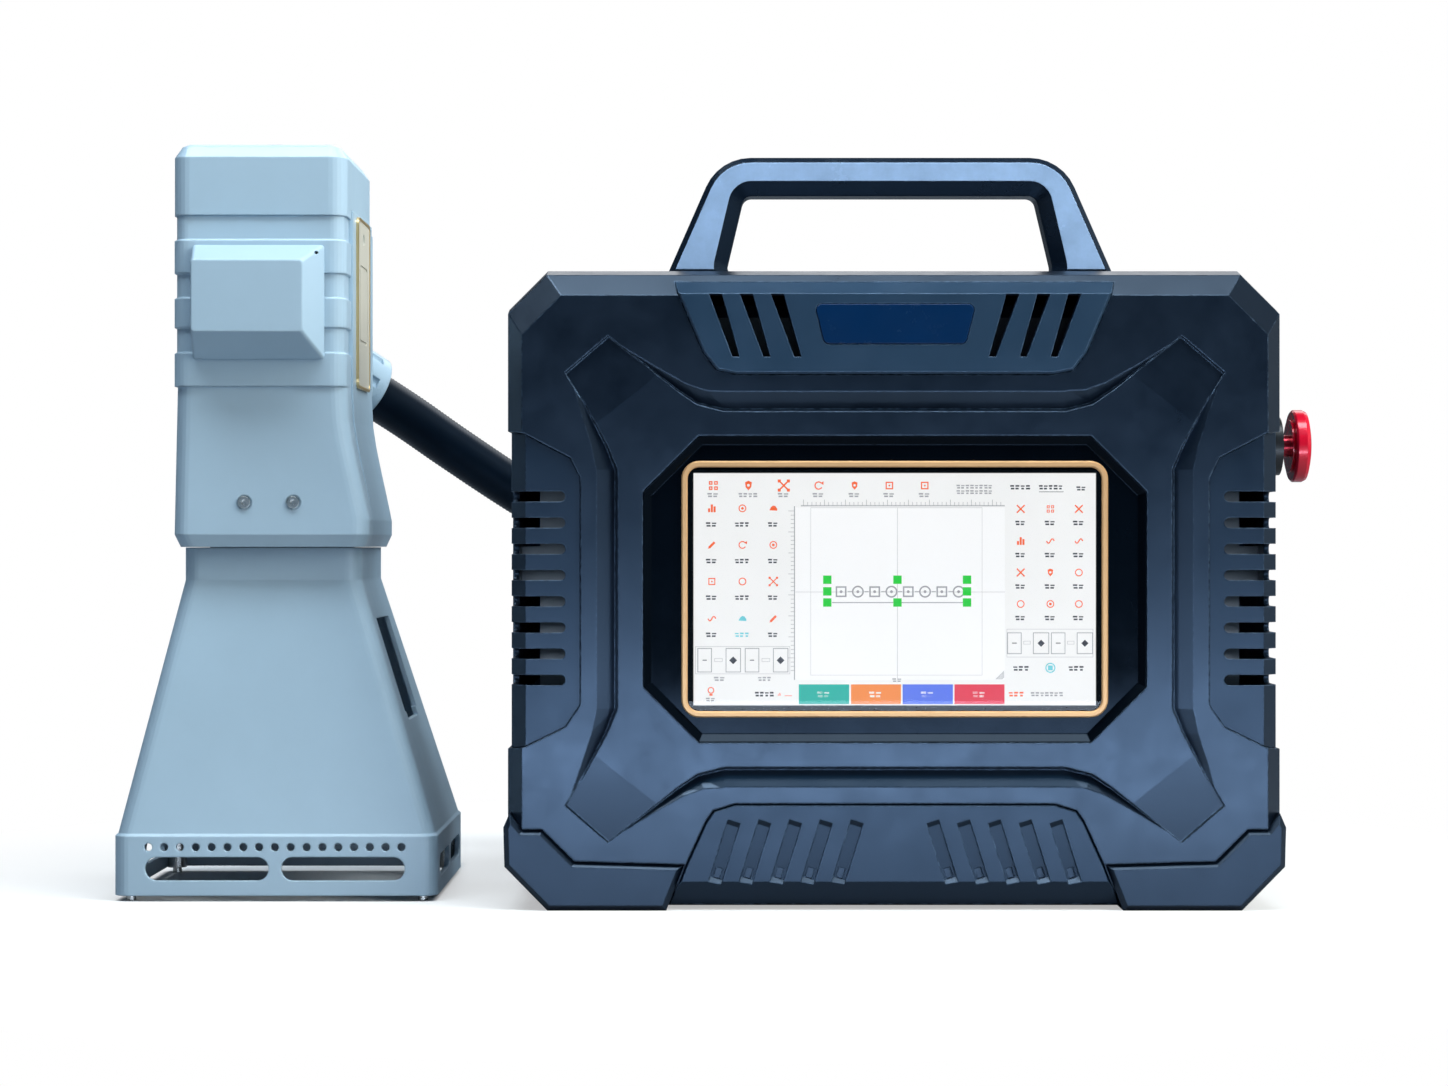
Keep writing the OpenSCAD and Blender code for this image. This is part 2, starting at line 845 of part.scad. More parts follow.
// A groove that gets deeper towards a small hole at its foot
module groove(l) {
    lip = over / 4;
    side_plate_of([[-lip, -groove_w / 2], [groove_cut, 0], [groove_cut * 0.6, l * 0.9], [-lip, l]],
        -groove_w / 2, groove_w / 2);
    translate([-groove_w / 4, 0, 0]) cube([groove_w / 2, insert_seat + face_t, groove_hole_h]);
}

module bottom_vent_panel() {
    foot = bottom_shares[0][1] * case_h;
    color([0.10, 0.14, 0.25])
    at_case() difference() {
        intersection() {
            skin([
                front_ring(grown(bottom_outline, -insert_edge), 0),
                front_ring(bottom_outline, insert_edge),
                front_ring(bottom_outline, insert_seat)]);
            side_plate_of([[-over, foot + low_bevel], [0, foot + low_bevel], [insert_seat, foot],
                [insert_seat, case_h], [-over, case_h]], -half_w, half_w);
        }
        groove_places();
    }
}

// The right vent panel, a skin under the outside of the case
module vent_panel() {
    difference() {
        intersection() {
            vent_room(0);
            difference() {
                case_body(vent_dip);
                case_body(vent_dip + vent_t);
            }
        }
        vent_slots(0);
    }
}

module right_vent_panel() {
    color([0.14, 0.17, 0.27])
    at_case() vent_panel();
}

module left_vent_panel() {
    color([0.14, 0.17, 0.27])
    at_case() mirror([1, 0, 0]) vent_panel();
}

module corner_guard() {
    y0 = -guard_proud;
    y1 = case_d + guard_proud;
    difference() {
        tiled_skin([
            front_ring(grown(guard_outline, -guard_edge), y0),
            front_ring(guard_outline, y0 + guard_edge),
            front_ring(guard_outline, y1 - guard_edge),
            front_ring(grown(guard_outline, -guard_edge), y1)], guard_tiles);
        translate([-guard_t, 0, guard_t])
            front_plate(guard_outline, guard_face_t, case_d - guard_face_t);
    }
}

module right_corner_guard() {
    color([0.08, 0.10, 0.17])
    at_case() corner_guard();
}

module left_corner_guard() {
    color([0.08, 0.10, 0.17])
    at_case() mirror([1, 0, 0]) corner_guard();
}

// The four corners of the handle or of its opening, the lower and the upper ones rounded
function handle_outline(low_w, top_w, z0, z1, r0, r1) =
    filleted(mirrored([[low_w / 2, z0], [top_w / 2, z1]]), [r0, r1, r1, r0], handle_steps);

module carry_handle() {
    base = case_h;
    top = case_h + handle_h;
    y0 = handle_set;
    y1 = handle_set + handle_d;
    outer = handle_outline(handle_w, handle_top_w, base, top, 0, handle_fillet);
    inner = handle_outline(opening_low_w, opening_top_w, base - opening_floor, top - handle_bar,
        opening_fillet, opening_fillet);
    color([0.11, 0.13, 0.2])
    at_case() difference() {
        intersection() {
            skin([
                front_ring(grown(outer, -handle_edge), y0), front_ring(outer, y0 + handle_edge),
                front_ring(outer, y1 - handle_edge), front_ring(grown(outer, -handle_edge), y1)]);
            box_of([-handle_w, 0, base], [handle_w, case_d, top]);
        }
        skin(concat(
            [for (s = roll_shares) front_ring(grown(inner, handle_roll * s[0]),
                y0 - over / 8 + handle_roll_d * s[1])],
            [for (i = [len(roll_shares) - 1:-1:0]) let (s = roll_shares[i])
                front_ring(grown(inner, handle_roll * s[0]), y1 + over / 8 - handle_roll_d * s[1])]));
    }
}

module screen_bezel() {
    color([0.03, 0.03, 0.05])
    at_case() difference() {
        front_plate(bezel_outline, 0, bezel_t);
        skin([front_ring(grown(bezel_outline, over / 4), -over / 4 * bezel_dip / bezel_rim),
            front_ring(grown(bezel_outline, -bezel_rim), bezel_dip)]);
        centred_plate(frame_w - 2 * frame_band - 2 * glass_ledge,
            frame_h - 2 * frame_band - 2 * glass_ledge, bezel_dip - over, bezel_t + over);
    }
}

function frame_outline(g) = [for (p = round_box([-frame_w / 2 - g, -frame_h / 2 - g],
    [frame_w / 2 + g, frame_h / 2 + g], frame_r + g, 8)) p + [0, screen_z]];

module display_frame() {
    top = bezel_dip - frame_t;
    color([0.78, 0.62, 0.36])
    at_case() difference() {
        skin([
            front_ring(frame_outline(-frame_round), top), front_ring(frame_outline(0), top + frame_round),
            front_ring(frame_outline(0), bezel_dip)]);
        skin([
            front_ring(frame_outline(-frame_band + frame_round + over / 4), top - over / 4),
            front_ring(frame_outline(-frame_band), top + frame_round),
            front_ring(frame_outline(-frame_band), bezel_dip + over)]);
    }
}

module touch_glass() {
    color([0.85, 0.88, 0.9, 0.5])
    at_case() front_plate(frame_outline(-frame_band - seam), bezel_dip - glass_t, bezel_dip);
}

module display_panel() {
    w = frame_w - 2 * frame_band - 2 * glass_ledge - 2 * seam;
    h = frame_h - 2 * frame_band - 2 * glass_ledge - 2 * seam;
    color([0.7, 0.75, 0.8])
    at_case() centred_plate(w, h, bezel_dip, bezel_dip + display_t);
}

board_y = bezel_dip + display_t + board_gap;

module controller_board() {
    color([0.05, 0.35, 0.2])
    at_case() at_screen() {
        box_of([-board_w / 2, board_y, -board_h / 2], [board_w / 2, board_y + board_t, board_h / 2]);
        for (x = [-1, 1], z = [-1, 1])
            translate([x * (board_w / 2 - post_d), 0, z * (board_h / 2 - post_d)])
                rod_y(post_d, bezel_dip + display_t, board_y + board_t);
        for (x = [-0.6, -0.2, 0.2, 0.6], z = [-0.5, 0, 0.5])
            translate([x * board_w / 2, board_y + board_t, z * board_h / 2])
                cube([board_w / 9, chip_t * (1 + x / 2), board_h / 8]);
    }
}

module chassis_plate() {
    x1 = half_w - case_wall;
    color([0.62, 0.64, 0.66])
    at_case() difference() {
        union() {
            box_of([-x1 + plate_margin, plate_set, low_cut * 2.2], [x1 - plate_margin, plate_set + plate_t,
                case_h - plate_margin * 2]);
            both_sides() translate([guard_end_share * half_w - case_wall - plate_margin * 1.5, plate_set,
                case_lift + case_wall]) cube([plate_margin, plate_t, low_cut * 2.2]);
            both_sides() translate([x1 - plate_margin - over, plate_set, screen_z])
                cube([plate_margin + over, plate_t * 8, plate_margin * 2]);
        }
        for (x = [-0.5, 0.35])
            translate([x * half_w, plate_set - over, screen_z - plate_slot_h])
                cube([plate_slot_w, plate_t + 2 * over, plate_slot_h]);
    }
}

module laser_source() {
    y0 = plate_set + plate_t;
    z0 = case_lift + case_wall + plate_margin / 2;
    color([0.2, 0.22, 0.25])
    at_case() {
        box_of([-laser_w / 2, y0, z0], [laser_w / 2, y0 + laser_d - fin_h, z0 + laser_h]);
        for (i = [0:fin_count - 1])
            translate([-laser_w / 2 + (laser_w - fin_t) * i / (fin_count - 1), y0 + laser_d - fin_h, z0])
                cube([fin_t, fin_h, laser_h]);
        for (x = [-1, 1])
            translate([x * (laser_w - plate_margin) / 2 - plate_margin / 2, y0, case_lift + case_wall])
                cube([plate_margin, laser_d - fin_h, plate_margin / 2]);
    }
}

module power_supply() {
    x0 = supply_x_share * half_w - supply_w / 2;
    z0 = supply_z_share * case_h;
    y0 = plate_set + plate_t;
    color([0.72, 0.73, 0.74])
    at_case() difference() {
        box_of([x0, y0, z0], [x0 + supply_w, y0 + supply_d, z0 + supply_h]);
        for (i = [1:supply_vents])
            translate([x0 + supply_w * i / (supply_vents + 1) - supply_vent_w / 2, y0 + supply_d - plate_t,
                z0 + supply_h / 4]) cube([supply_vent_w, over + plate_t, supply_h / 2]);
    }
}

// Fans

module fan_housing() {
    y1 = fan_rear;
    y0 = fan_rear - fan_t;
    difference() {
        box_of([-fan_size / 2, y0, -fan_size / 2], [fan_size / 2, y1, fan_size / 2]);
        rod_y(2 * fan_bore - case_wall, y0 - over, y1 + over);
        fan_screw_holes(y0 - over, y1 + over);
    }
    rod_y(fan_pin_d, y0 + fan_arm_w, y1 - fan_arm_w);
    rod_y(fan_hub, y0, y0 + fan_arm_w - seam);
    rod_y(fan_pin_d, y0, y0 + fan_arm_w);
    for (a = [45, 135, 225, 315])
        rotate([0, a, 0]) translate([fan_hub / 2 - over, y0, -fan_arm_w / 2])
            cube([fan_bore - case_wall / 2 - fan_hub / 2 + over, fan_arm_w - seam, fan_arm_w]);
}

module fan_housings() {
    color([0.12, 0.12, 0.13])
    at_case() both_sides() translate([fan_x, 0, fan_z]) fan_housing();
}

module fan_rotor() {
    y0 = fan_rear - fan_t + fan_arm_w + rear_gap;
    y1 = fan_rear - fan_arm_w + rear_gap;
    tip = fan_bore - case_wall / 2 - 2 * rear_gap;
    difference() {
        union() {
            rod_y(2 * fan_hub, y0, y1);
            for (i = [0:fan_blades - 1])
                rotate([0, 360 * i / fan_blades, 0])
                    translate([(fan_hub + tip - over) / 2, (y0 + y1) / 2, 0])
                        rotate([fan_blade_tilt, 0, 0])
                            cube([tip - fan_hub + over, fan_blade_t, (y1 - y0) * 1.1], center = true);
        }
        rod_y(fan_pin_d + 2 * run_gap, y0 - over, y1 + over);
        difference() {
            rod_y(2 * fan_hub - 2 * case_wall, y0 - over, y1 - fan_arm_w);
            rod_y(fan_pin_d + case_wall, y0 - 2 * over, y1);
        }
    }
}

module fan_rotor_right() {
    color([0.2, 0.2, 0.22])
    at_case() translate([fan_x, 0, fan_z]) fan_rotor();
}

module fan_rotor_left() {
    color([0.2, 0.2, 0.22])
    at_case() translate([-fan_x, 0, fan_z]) fan_rotor();
}

module wire_ring(r) {
    w = guard_wire_d;
    difference() {
        rod_y(2 * r + w, w / 4, w);
        rod_y(2 * r - w, w / 4 - over, w + over);
    }
}

module fan_guards() {
    w = guard_wire_d;
    reach = fan_size * fan_screw_share;
    color([0.7, 0.71, 0.72])
    at_case() both_sides() translate([fan_x, case_d, fan_z]) {
        for (i = [1:guard_rings]) wire_ring(fan_bore * i / guard_rings);
        for (a = [45, 135])
            rotate([0, a, 0]) translate([-reach * sqrt(2), 0, -w / 2])
                cube([reach * sqrt(8), w * 0.8, w]);
        for (x = [-1, 1], z = [-1, 1])
            translate([x * reach, 0, z * reach]) {
                rod_y(fan_screw_d * 2, 0, w);
                rod_y(fan_screw_d - seam, -case_wall - fan_t / 2, w);
            }
    }
}

// Rear fittings

module at_rear(z_share) {
    translate([case_x + half_w * inlet_x_share, case_y + case_d, case_h * z_share]) children();
}

module mains_inlet() {
    color([0.05, 0.05, 0.06])
    at_rear(inlet_z_share) {
        difference() {
            union() {
                box_of([-inlet_flange_w / 2, 0, -inlet_flange_h / 2],
                    [inlet_flange_w / 2, inlet_flange_t, inlet_flange_h / 2]);
                box_of([-inlet_w / 2, -inlet_l, -inlet_h / 2], [inlet_w / 2, 0, inlet_h / 2]);
            }
            box_of([-socket_w / 2, inlet_flange_t - socket_l, -socket_h / 2],
                [socket_w / 2, inlet_flange_t + over, socket_h / 2]);
        }
        for (x = [-1, 0, 1])
            translate([x * blade_pitch - blade_w / 2, inlet_flange_t - socket_l,
                (abs(x) / 2 - 1) * blade_h])
                cube([blade_w, blade_l, blade_h]);
    }
}

module rocker_frame() {
    color([0.05, 0.05, 0.06])
    at_rear(switch_z_share) difference() {
        union() {
            box_of([-switch_w / 2, 0, -switch_h / 2], [switch_w / 2, switch_t, switch_h / 2]);
            box_of([-rocker_w / 2 - case_wall, -switch_l, -rocker_h / 2 - case_wall],
                [rocker_w / 2 + case_wall, 0, rocker_h / 2 + case_wall]);
        }
        box_of([-rocker_w / 2 - rear_gap, -switch_l + case_wall, -rocker_h / 2 - rear_gap],
            [rocker_w / 2 + rear_gap, switch_t + over, rocker_h / 2 + rear_gap]);
        rod_z(rocker_pin_d + 2 * run_gap,
            -rocker_h / 2 - case_wall + rear_gap, rocker_h / 2 + case_wall - rear_gap);
    }
}

// The rocker tilts about an upright pin, and rests with its left side pressed
module power_rocker() {
    w = rocker_w / 2;
    color([0.7, 0.08, 0.06])
    at_rear(switch_z_share) rotate([0, 0, rocker_tilt]) {
        translate([0, 0, -rocker_h / 2]) linear_extrude(rocker_h)
            polygon([[-w * 0.82, -rocker_rise], [w * 0.82, -rocker_rise], [w * 0.96, rocker_rise],
                [0, rocker_rise * 0.6], [-w * 0.96, rocker_rise]]);
        rod_z(rocker_pin_d,
            -rocker_h / 2 - case_wall + 2 * rear_gap, rocker_h / 2 + case_wall - 2 * rear_gap);
    }
}

module key_switch() {
    color([0.75, 0.76, 0.78])
    at_rear(key_z_share) difference() {
        union() {
            rod_y(key_d, -key_l, 0);
            rod_y(key_flange_d, 0, key_flange_t);
        }
        rod_y(key_slot_d + 2 * run_gap, -key_blade_l, key_flange_t + over);
    }
}

// The key with the round plug that turns with it
module key() {
    color([0.8, 0.8, 0.78])
    at_rear(key_z_share) {
        rod_y(key_slot_d, -key_blade_l + rear_gap, key_flange_t + 4 * rear_gap);
        difference() {
            translate([-key_bow_t / 2, key_flange_t + 2 * rear_gap + key_bow_d / 2, 0])
                rod_x(key_bow_d, 0, key_bow_t);
            translate([-key_bow_t, key_flange_t + 2 * rear_gap + key_bow_d * 0.75, 0])
                rod_x(key_slot_d / 2, 0, 2 * key_bow_t);
        }
    }
}

// Emergency stop

module at_stop() {
    translate([case_x + half_w, case_y + stop_set, stop_z]) children();
}

module stop_body() {
    color([0.12, 0.12, 0.13])
    at_stop() {
        difference() {
            union() {
                rod_x(stop_hole_d - 2 * seam, -stop_thread_l, 0);
                rod_x(stop_collar_d, 0, stop_collar_t);
                rod_x(stop_nut_d, -case_wall - stop_nut_t, -case_wall);
            }
            rod_x(stop_bore_d + 2 * run_gap, -stop_thread_l + stop_nut_t, stop_collar_t + over);
        }
        box_of([-stop_thread_l - stop_block, -stop_block / 2, -stop_block / 2],
            [-stop_thread_l, stop_block / 2, stop_block / 2]);
    }
}

module stop_stem() {
    color([0.6, 0.6, 0.62])
    at_stop() rod_x(stop_bore_d, -stop_thread_l + stop_nut_t + stop_travel + rear_gap,
        stop_reach - stop_head_t);
}

// The mushroom head: a neck, a groove and a domed disc
module stop_cap() {
    r = stop_d / 2;
    n = stop_neck_d / 2;
    base = stop_collar_t + stop_travel + rear_gap;
    disc = stop_reach - stop_head_t;
    dome_r = (r * r * 0.7 + stop_dome * stop_dome) / (2 * stop_dome);
    color([0.72, 0.10, 0.14])
    at_stop() rotate([0, 90, 0]) rotate_extrude() polygon(concat(
        [[stop_bore_d / 2 + seam / 10, base], [n, base], [n, disc - rear_gap], [n - over / 2, disc],
            [r - over / 2, disc], [r, disc + over / 2], [r, stop_reach - stop_dome - over]],
        [for (i = [0:8]) let (x = r * 0.95 * (1 - i / 8)) [x, stop_reach - stop_dome * x * x / (r * r)
            - seam * (1 - i / 8)]],
        [[0, disc + rear_gap / 10], [stop_bore_d / 2 + seam / 10, disc + rear_gap / 10]]));
}

// Hose glands

module lobed_nut(z0, z1) {
    difference() {
        rod_z(gland_d, z0, z1);
        for (i = [0:gland_lobes - 1])
            rotate([0, 0, 360 * i / gland_lobes]) translate([gland_d / 2 + lobe_d / 5, 0, 0])
                rod_z(lobe_d, z0 - over, z1 - lobe_d);
    }
}

// A gland that stands on its foot at z = 0 and points up
module gland() {
    lobed_nut(gland_foot_t, gland_l);
    rod_z(gland_d - over, 0, gland_foot_t);
    rod_z(gland_thread_d, -gland_thread_l, 0);
}

module case_gland() {
    color([0.45, 0.55, 0.68])
    at_case() translate([-gland_x, case_d, gland_z]) rotate([-90, 0, 0]) gland();
}

module case_screws() {
    color([0.55, 0.56, 0.58])
    at_case() case_screw_places() difference() {
        union() {
            rod_y(screw_d, case_d - screw_sink, case_d - seam);
            rod_y(screw_d / 2, case_d - screw_l, case_d - screw_sink);
        }
        translate([0, case_d - screw_sink / 2, 0]) rotate([-90, 0, 0])
            cylinder(d = screw_hex, h = screw_sink, $fn = 6);
    }
}

// Marking head

// A rounded rectangle at height z, drawn in by g
function body_ring(z, x0, x1, y0, y1, r, g) =
    level_ring(round_box([x0 + g, y0 + g], [x1 - g, y1 - g], max(r - g, r / 4), body_steps), z);

// A ring of the upper body, which reaches to the right as far as right
function trunk_ring(z, right, r, g) = body_ring(z, body_left, right, -body_front, body_back, r, g);

function hood_rings(g) = [
    body_ring(neck_h + (g > 0 ? over : 0), neck_shift - neck_w / 2, neck_shift + neck_w / 2,
        -body_front + neck_d / 8, -body_front + neck_d / 8 + neck_d, hood_r, g),
    body_ring(hood_taper_h, neck_shift - neck_w / 2, neck_shift + neck_w / 2,
        -body_front + neck_d / 8, -body_front + neck_d / 8 + neck_d, hood_r, g),
    body_ring(foot_h + hood_band + hood_ledge, -hood_w / 2 + hood_ledge, hood_w / 2 - hood_ledge,
        -hood_d / 2 + hood_ledge, hood_d / 2 - hood_ledge, hood_r, g),
    body_ring(foot_h + hood_band, -hood_w / 2, hood_w / 2, -hood_d / 2, hood_d / 2, hood_r, g),
    body_ring(foot_h - (g > 0 ? over : 0), -hood_w / 2, hood_w / 2, -hood_d / 2, hood_d / 2, hood_r, g)];

// A level slot with round ends through a wall that faces the front
module front_slot(l, h) {
    for (x = [-1, 1]) translate([x * (l - h) / 2, 0, 0]) rod_y(h, 0, hood_wall + 2 * over);
    box_of([-(l - h) / 2, 0, -h / 2], [(l - h) / 2, hood_wall + 2 * over, h / 2]);
}

module side_slot(l, h) {
    for (y = [-1, 1]) translate([0, y * (l - h) / 2, 0]) rod_x(h, 0, hood_w + 2 * over);
    box_of([0, -(l - h) / 2, -h / 2], [hood_w + 2 * over, (l - h) / 2, h / 2]);
}

module hood() {
    slot_z0 = foot_h + slot_low + slot_h / 2;
    color([0.62, 0.72, 0.84])
    at_head() difference() {
        skin(hood_rings(0));
        skin(hood_rings(hood_wall));
        for (x = [-1, 1]) translate([x * (slot_l + slot_gap) / 2, -hood_d / 2 - over, slot_z0])
            front_slot(slot_l, slot_h);
        for (y = [-1, 1]) translate([-hood_w / 2 - over, y * (side_slot_l + slot_gap) / 2, slot_z0])
            side_slot(side_slot_l, slot_h);
        for (i = [0:vent_hole_count - 1])
            translate([(i - (vent_hole_count - 1) / 2) * vent_hole_pitch, 0, foot_h + vent_hole_z])
                rod_y(vent_hole_d, -hood_d / 2 - over, -hood_d / 2 + hood_wall + over);
        translate([0, window_y, window_z]) {
            box_of([0, -window_w / 2, -window_h / 2], [hood_w, window_w / 2, window_h / 2]);
            box_of([0, -window_w / 2 + window_step, -window_h / 2 - window_step],
                [hood_w, window_w / 2 - window_step, 0]);
        }
    }
}

module hood_feet() {
    color([0.7, 0.7, 0.7])
    at_head() for (x = [-1, 1], y = [-1, 1])
        translate([x * (hood_w / 2 - hood_r), y * (hood_d / 2 - hood_r), 0]) {
            rod_z(foot_d, 0, foot_h);
            rod_z(2 * (hood_r - hood_wall) - seam, foot_h, foot_h + hood_band / 2);
        }
}

// Heights and insets of the banded body, from its top down
function band_z(i) = skirt_top + (cap_low - skirt_top) * band_shares[i];

function band_rows() = let (n = len(band_shares) - 1) concat([[band_z(n), band_dip]],
    [for (i = [n - 1:-1:1]) each i % 2 == 1 ? [[band_z(i) + band_edge, band_dip], [band_z(i), 0]] :
        [[band_z(i), 0], [band_z(i) - band_edge, band_dip]]], [[band_z(0), 0]]);

function skirt_rings(right, g) = concat(
    [for (s = skirt_shares)
        body_ring(neck_h + skirt_foot + (skirt_h - skirt_foot) * s[0], body_left + skirt_in * s[0],
            right + (body_right + skirt_flare - right) * s[1], -body_front + skirt_in * s[0],
            body_back + skirt_rear * s[1], body_r, g)],
    [body_ring(neck_h + (g > 0 ? -over : seam), body_left + skirt_foot_in,
        body_right + skirt_flare - skirt_foot_in, -body_front + skirt_foot_in,
        body_back + skirt_rear - skirt_foot_in, body_r, g)]);

// What belongs to the front shell, which reaches further back on the left than on the right
module front_half(gap) {
    y0 = -body_front - over;
    box_of([body_left - over, y0, 0], [over, -body_front + body_split - gap, head_h + over]);
    box_of([-over, y0, 0], [body_right + 2 * skirt_flare, -body_front + slab_start - gap, head_h + over]);
}

// The banded front shell and the skirt under it
module head_front_shell() {
    color([0.62, 0.72, 0.84])
    at_head() difference() {
        intersection() {
            union() {
                skin([for (r = band_rows()) trunk_ring(r[0], body_right, body_r, r[1])]);
                skin(skirt_rings(body_right, 0));
            }
            front_half(0);
        }
        skin([trunk_ring(cap_low + over, body_right, body_r, head_wall + band_dip),
            trunk_ring(skirt_top, body_right, body_r, head_wall + band_dip)]);
        skin(skirt_rings(body_right, head_wall));
        for (x = [-1, 1]) translate([skirt_screw_mid + x * skirt_screw_x, 0, skirt_screw_z]) {
            rod_y(skirt_screw_sink, -body_front - over, -body_front + skirt_screw_t / 2);
            rod_y(skirt_screw_d / 2 + seam, -body_front - over, -body_front + head_wall + over);
        }
        translate([beam_x, 0, beam_z])
            rod_y(motor_d + 4 * seam, -body_front - over, -body_front + 2 * head_wall);
    }
}

// The part of the rear shell that rises beside the top cap, grown by g
module slab_tongue(g) {
    box_of([body_right + seam - head_wall - g, -body_front + slab_start + seam - g, cap_low - over],
        [slab_x + g, body_back - cap_r + g, cap_low + slab_rise + g]);
}

// The smooth shell that closes the right side and the rear
module head_rear_shell() {
    color([0.62, 0.72, 0.84])
    at_head() difference() {
        union() {
            skin([trunk_ring(cap_low - seam, slab_x, body_r / 2, 0),
                trunk_ring(skirt_top, slab_x, body_r / 2, 0)]);
            skin(skirt_rings(slab_x, 0));
            slab_tongue(0);
        }
        skin([trunk_ring(cap_low + over, body_right + seam, body_r, head_wall),
            trunk_ring(skirt_top - over, body_right + seam, body_r, head_wall)]);
        skin(skirt_rings(body_right, head_wall));
        front_half(-seam);
        translate([0, body_back - head_wall - over, grip_low + housing_h / 2])
            rod_y(gland_thread_d - lobe_d, 0, head_wall + 2 * over);
    }
}

module head_top_cap() {
    color([0.62, 0.72, 0.84])
    at_head() difference() {
        skin([
            trunk_ring(head_h, body_right, cap_r, cap_bevel),
            trunk_ring(head_h - cap_bevel / 5, body_right, cap_r, cap_bevel * 0.55),
            trunk_ring(head_h - cap_bevel, body_right, cap_r, 0),
            trunk_ring(cap_low, body_right, cap_r, 0)]);
        skin([
            trunk_ring(head_h - head_wall, body_right, cap_r, cap_bevel + head_wall / 2),
            trunk_ring(head_h - cap_bevel - head_wall, body_right, cap_r, head_wall),
            trunk_ring(cap_low - over, body_right, cap_r, head_wall)]);
        slab_tongue(seam);
    }
}

// The outline of the galvo cover at depth y, a share of the way to its face, and drawn in by g
function cover_ring(share, y, g) =
    let (x = body_shift, z = cover_z, w = cover_w / 2, h = cover_h / 2, c = cover_in * share)
        front_ring(round_box([x - w + c[0] + g, z - h + c[1] + g], [x + w - c[2] - g, z + h - c[3] - g],
            cover_r, 3), y);

module galvo_cover() {
    y0 = -body_front - cover_reach;
    color([0.62, 0.72, 0.84])
    at_head() difference() {
        skin([
            cover_ring(1, y0, over / 4), cover_ring(1, y0 + over / 4, 0),
            cover_ring(0, -body_front - over, 0), cover_ring(0, -body_front, 0)]);
        skin([cover_ring(1, y0 + head_wall, head_wall / 2), cover_ring(0, -body_front + over, head_wall)]);
        translate([body_shift + cover_w / 2 - cover_screw_d, 0,
            cover_z + cover_h / 2 - cover_screw_d * 1.4])
            rod_y(cover_screw_d / 2, -body_front - cover_reach, -body_front + over);
    }
}

function plate_outline(g) = [for (p = round_box([-plate_w / 2 - g, -plate_h / 2 - g],
    [plate_w / 2 + g, plate_h / 2 + g], plate_r + g, 5)) p + [side_plate_y, side_plate_z]];

module side_plate() {
    color([0.88, 0.86, 0.76])
    at_head() difference() {
        side_plate_of(plate_outline(-trim_w - seam / 3), slab_x, slab_x + side_plate_t);
        translate([slab_x - over, side_plate_y, side_plate_z + plate_h / 2 - plate_hole_d * 1.6])
            rod_x(plate_hole_d, 0, side_plate_t + 2 * over);
        difference() {
            side_plate_of(round_box([side_plate_y - plate_frame_w / 2, side_plate_z - plate_frame_h / 2],
                [side_plate_y + plate_frame_w / 2, side_plate_z + plate_frame_h / 2], plate_r / 2, 4),
                slab_x + side_plate_t / 2, slab_x + side_plate_t + over);
            side_plate_of(round_box(
                [side_plate_y - plate_frame_w / 2 + trim_w, side_plate_z - plate_frame_h / 2 + trim_w],
                [side_plate_y + plate_frame_w / 2 - trim_w, side_plate_z + plate_frame_h / 2 - trim_w],
                plate_r / 4, 4), slab_x, slab_x + side_plate_t + 2 * over);
        }
    }
}

module side_trim() {
    color([0.78, 0.62, 0.36])
    at_head() difference() {
        side_plate_of(plate_outline(0), slab_x, slab_x + side_plate_t * 1.4);
        side_plate_of(plate_outline(-trim_w), slab_x - over, slab_x + side_plate_t * 2);
    }
}

module head_screws() {
    color([0.72, 0.73, 0.74])
    at_head() for (x = [-1, 1]) translate([skirt_screw_mid + x * skirt_screw_x, 0, skirt_screw_z])
        difference() {
            union() {
                rod_y(skirt_screw_d, -body_front + skirt_screw_t / 2 - skirt_screw_t,
                    -body_front + skirt_screw_t / 2);
                rod_y(skirt_screw_d / 2, -body_front, -body_front + head_wall + over);
            }
            translate([0, -body_front - skirt_screw_t, 0]) rotate([-90, 0, 0])
                cylinder(d = skirt_screw_d * 0.45, h = skirt_screw_t * 1.2, $fn = 6);
        }
}

// Direction of the hose where it leaves the head, and the frame that points along it
function turned_to(d) = [0, acos(unit(d)[2]), atan2(d[1], d[0])];

// The rear grip: a closed loop for the hand over the block that carries the hose gland
module rear_grip() {
    y0 = body_back;
    y1 = grip_reach;
    z0 = grip_low;
    z1 = head_h - cap_bevel;
    zh = z0 + housing_h;
    outline = filleted(
        [[y0, z0], [y1 - grip_r, z0], [y1, z0 + grip_r], [y1, z1 - grip_r], [y1 - grip_r, z1], [y0, z1]],
        [0, grip_r, grip_r, grip_r, grip_r, 0], 4);
    color([0.55, 0.66, 0.79])
    at_head() difference() {
        union() {
            side_plate_of(outline, body_shift - grip_w / 2, body_shift + grip_w / 2);
            translate([body_shift + housing_shift - housing_w / 2 + grip_w / 2, y0 + seam, z0])
                cube([housing_w, y1 - y0 - grip_bar / 4, housing_h]);
        }
        side_plate_of(round_box([y0 - over * 5, zh], [y1 - grip_bar, z1 - grip_top_bar], grip_r / 2, 4),
            -hood_w, hood_w);
        translate(head_gland_at) rotate(turned_to(gland_dir)) {
            box_of([-hood_w, -hood_w, 0], [hood_w, hood_w, hood_w]);
            rod_z(gland_thread_d + 2 * seam, -gland_thread_l - seam, over);
        }
        translate([body_shift, y1 - grip_bar, trigger_z])
            box_of([-trigger_w / 2 - seam, -over, -trigger_h / 2 - seam],
                [trigger_w / 2 + seam, trigger_deep + trigger_travel + seam, trigger_h / 2 + seam]);
        box_of([-hood_w, -body_front, 0], [hood_w, y0, cap_low * 2]);
    }
}

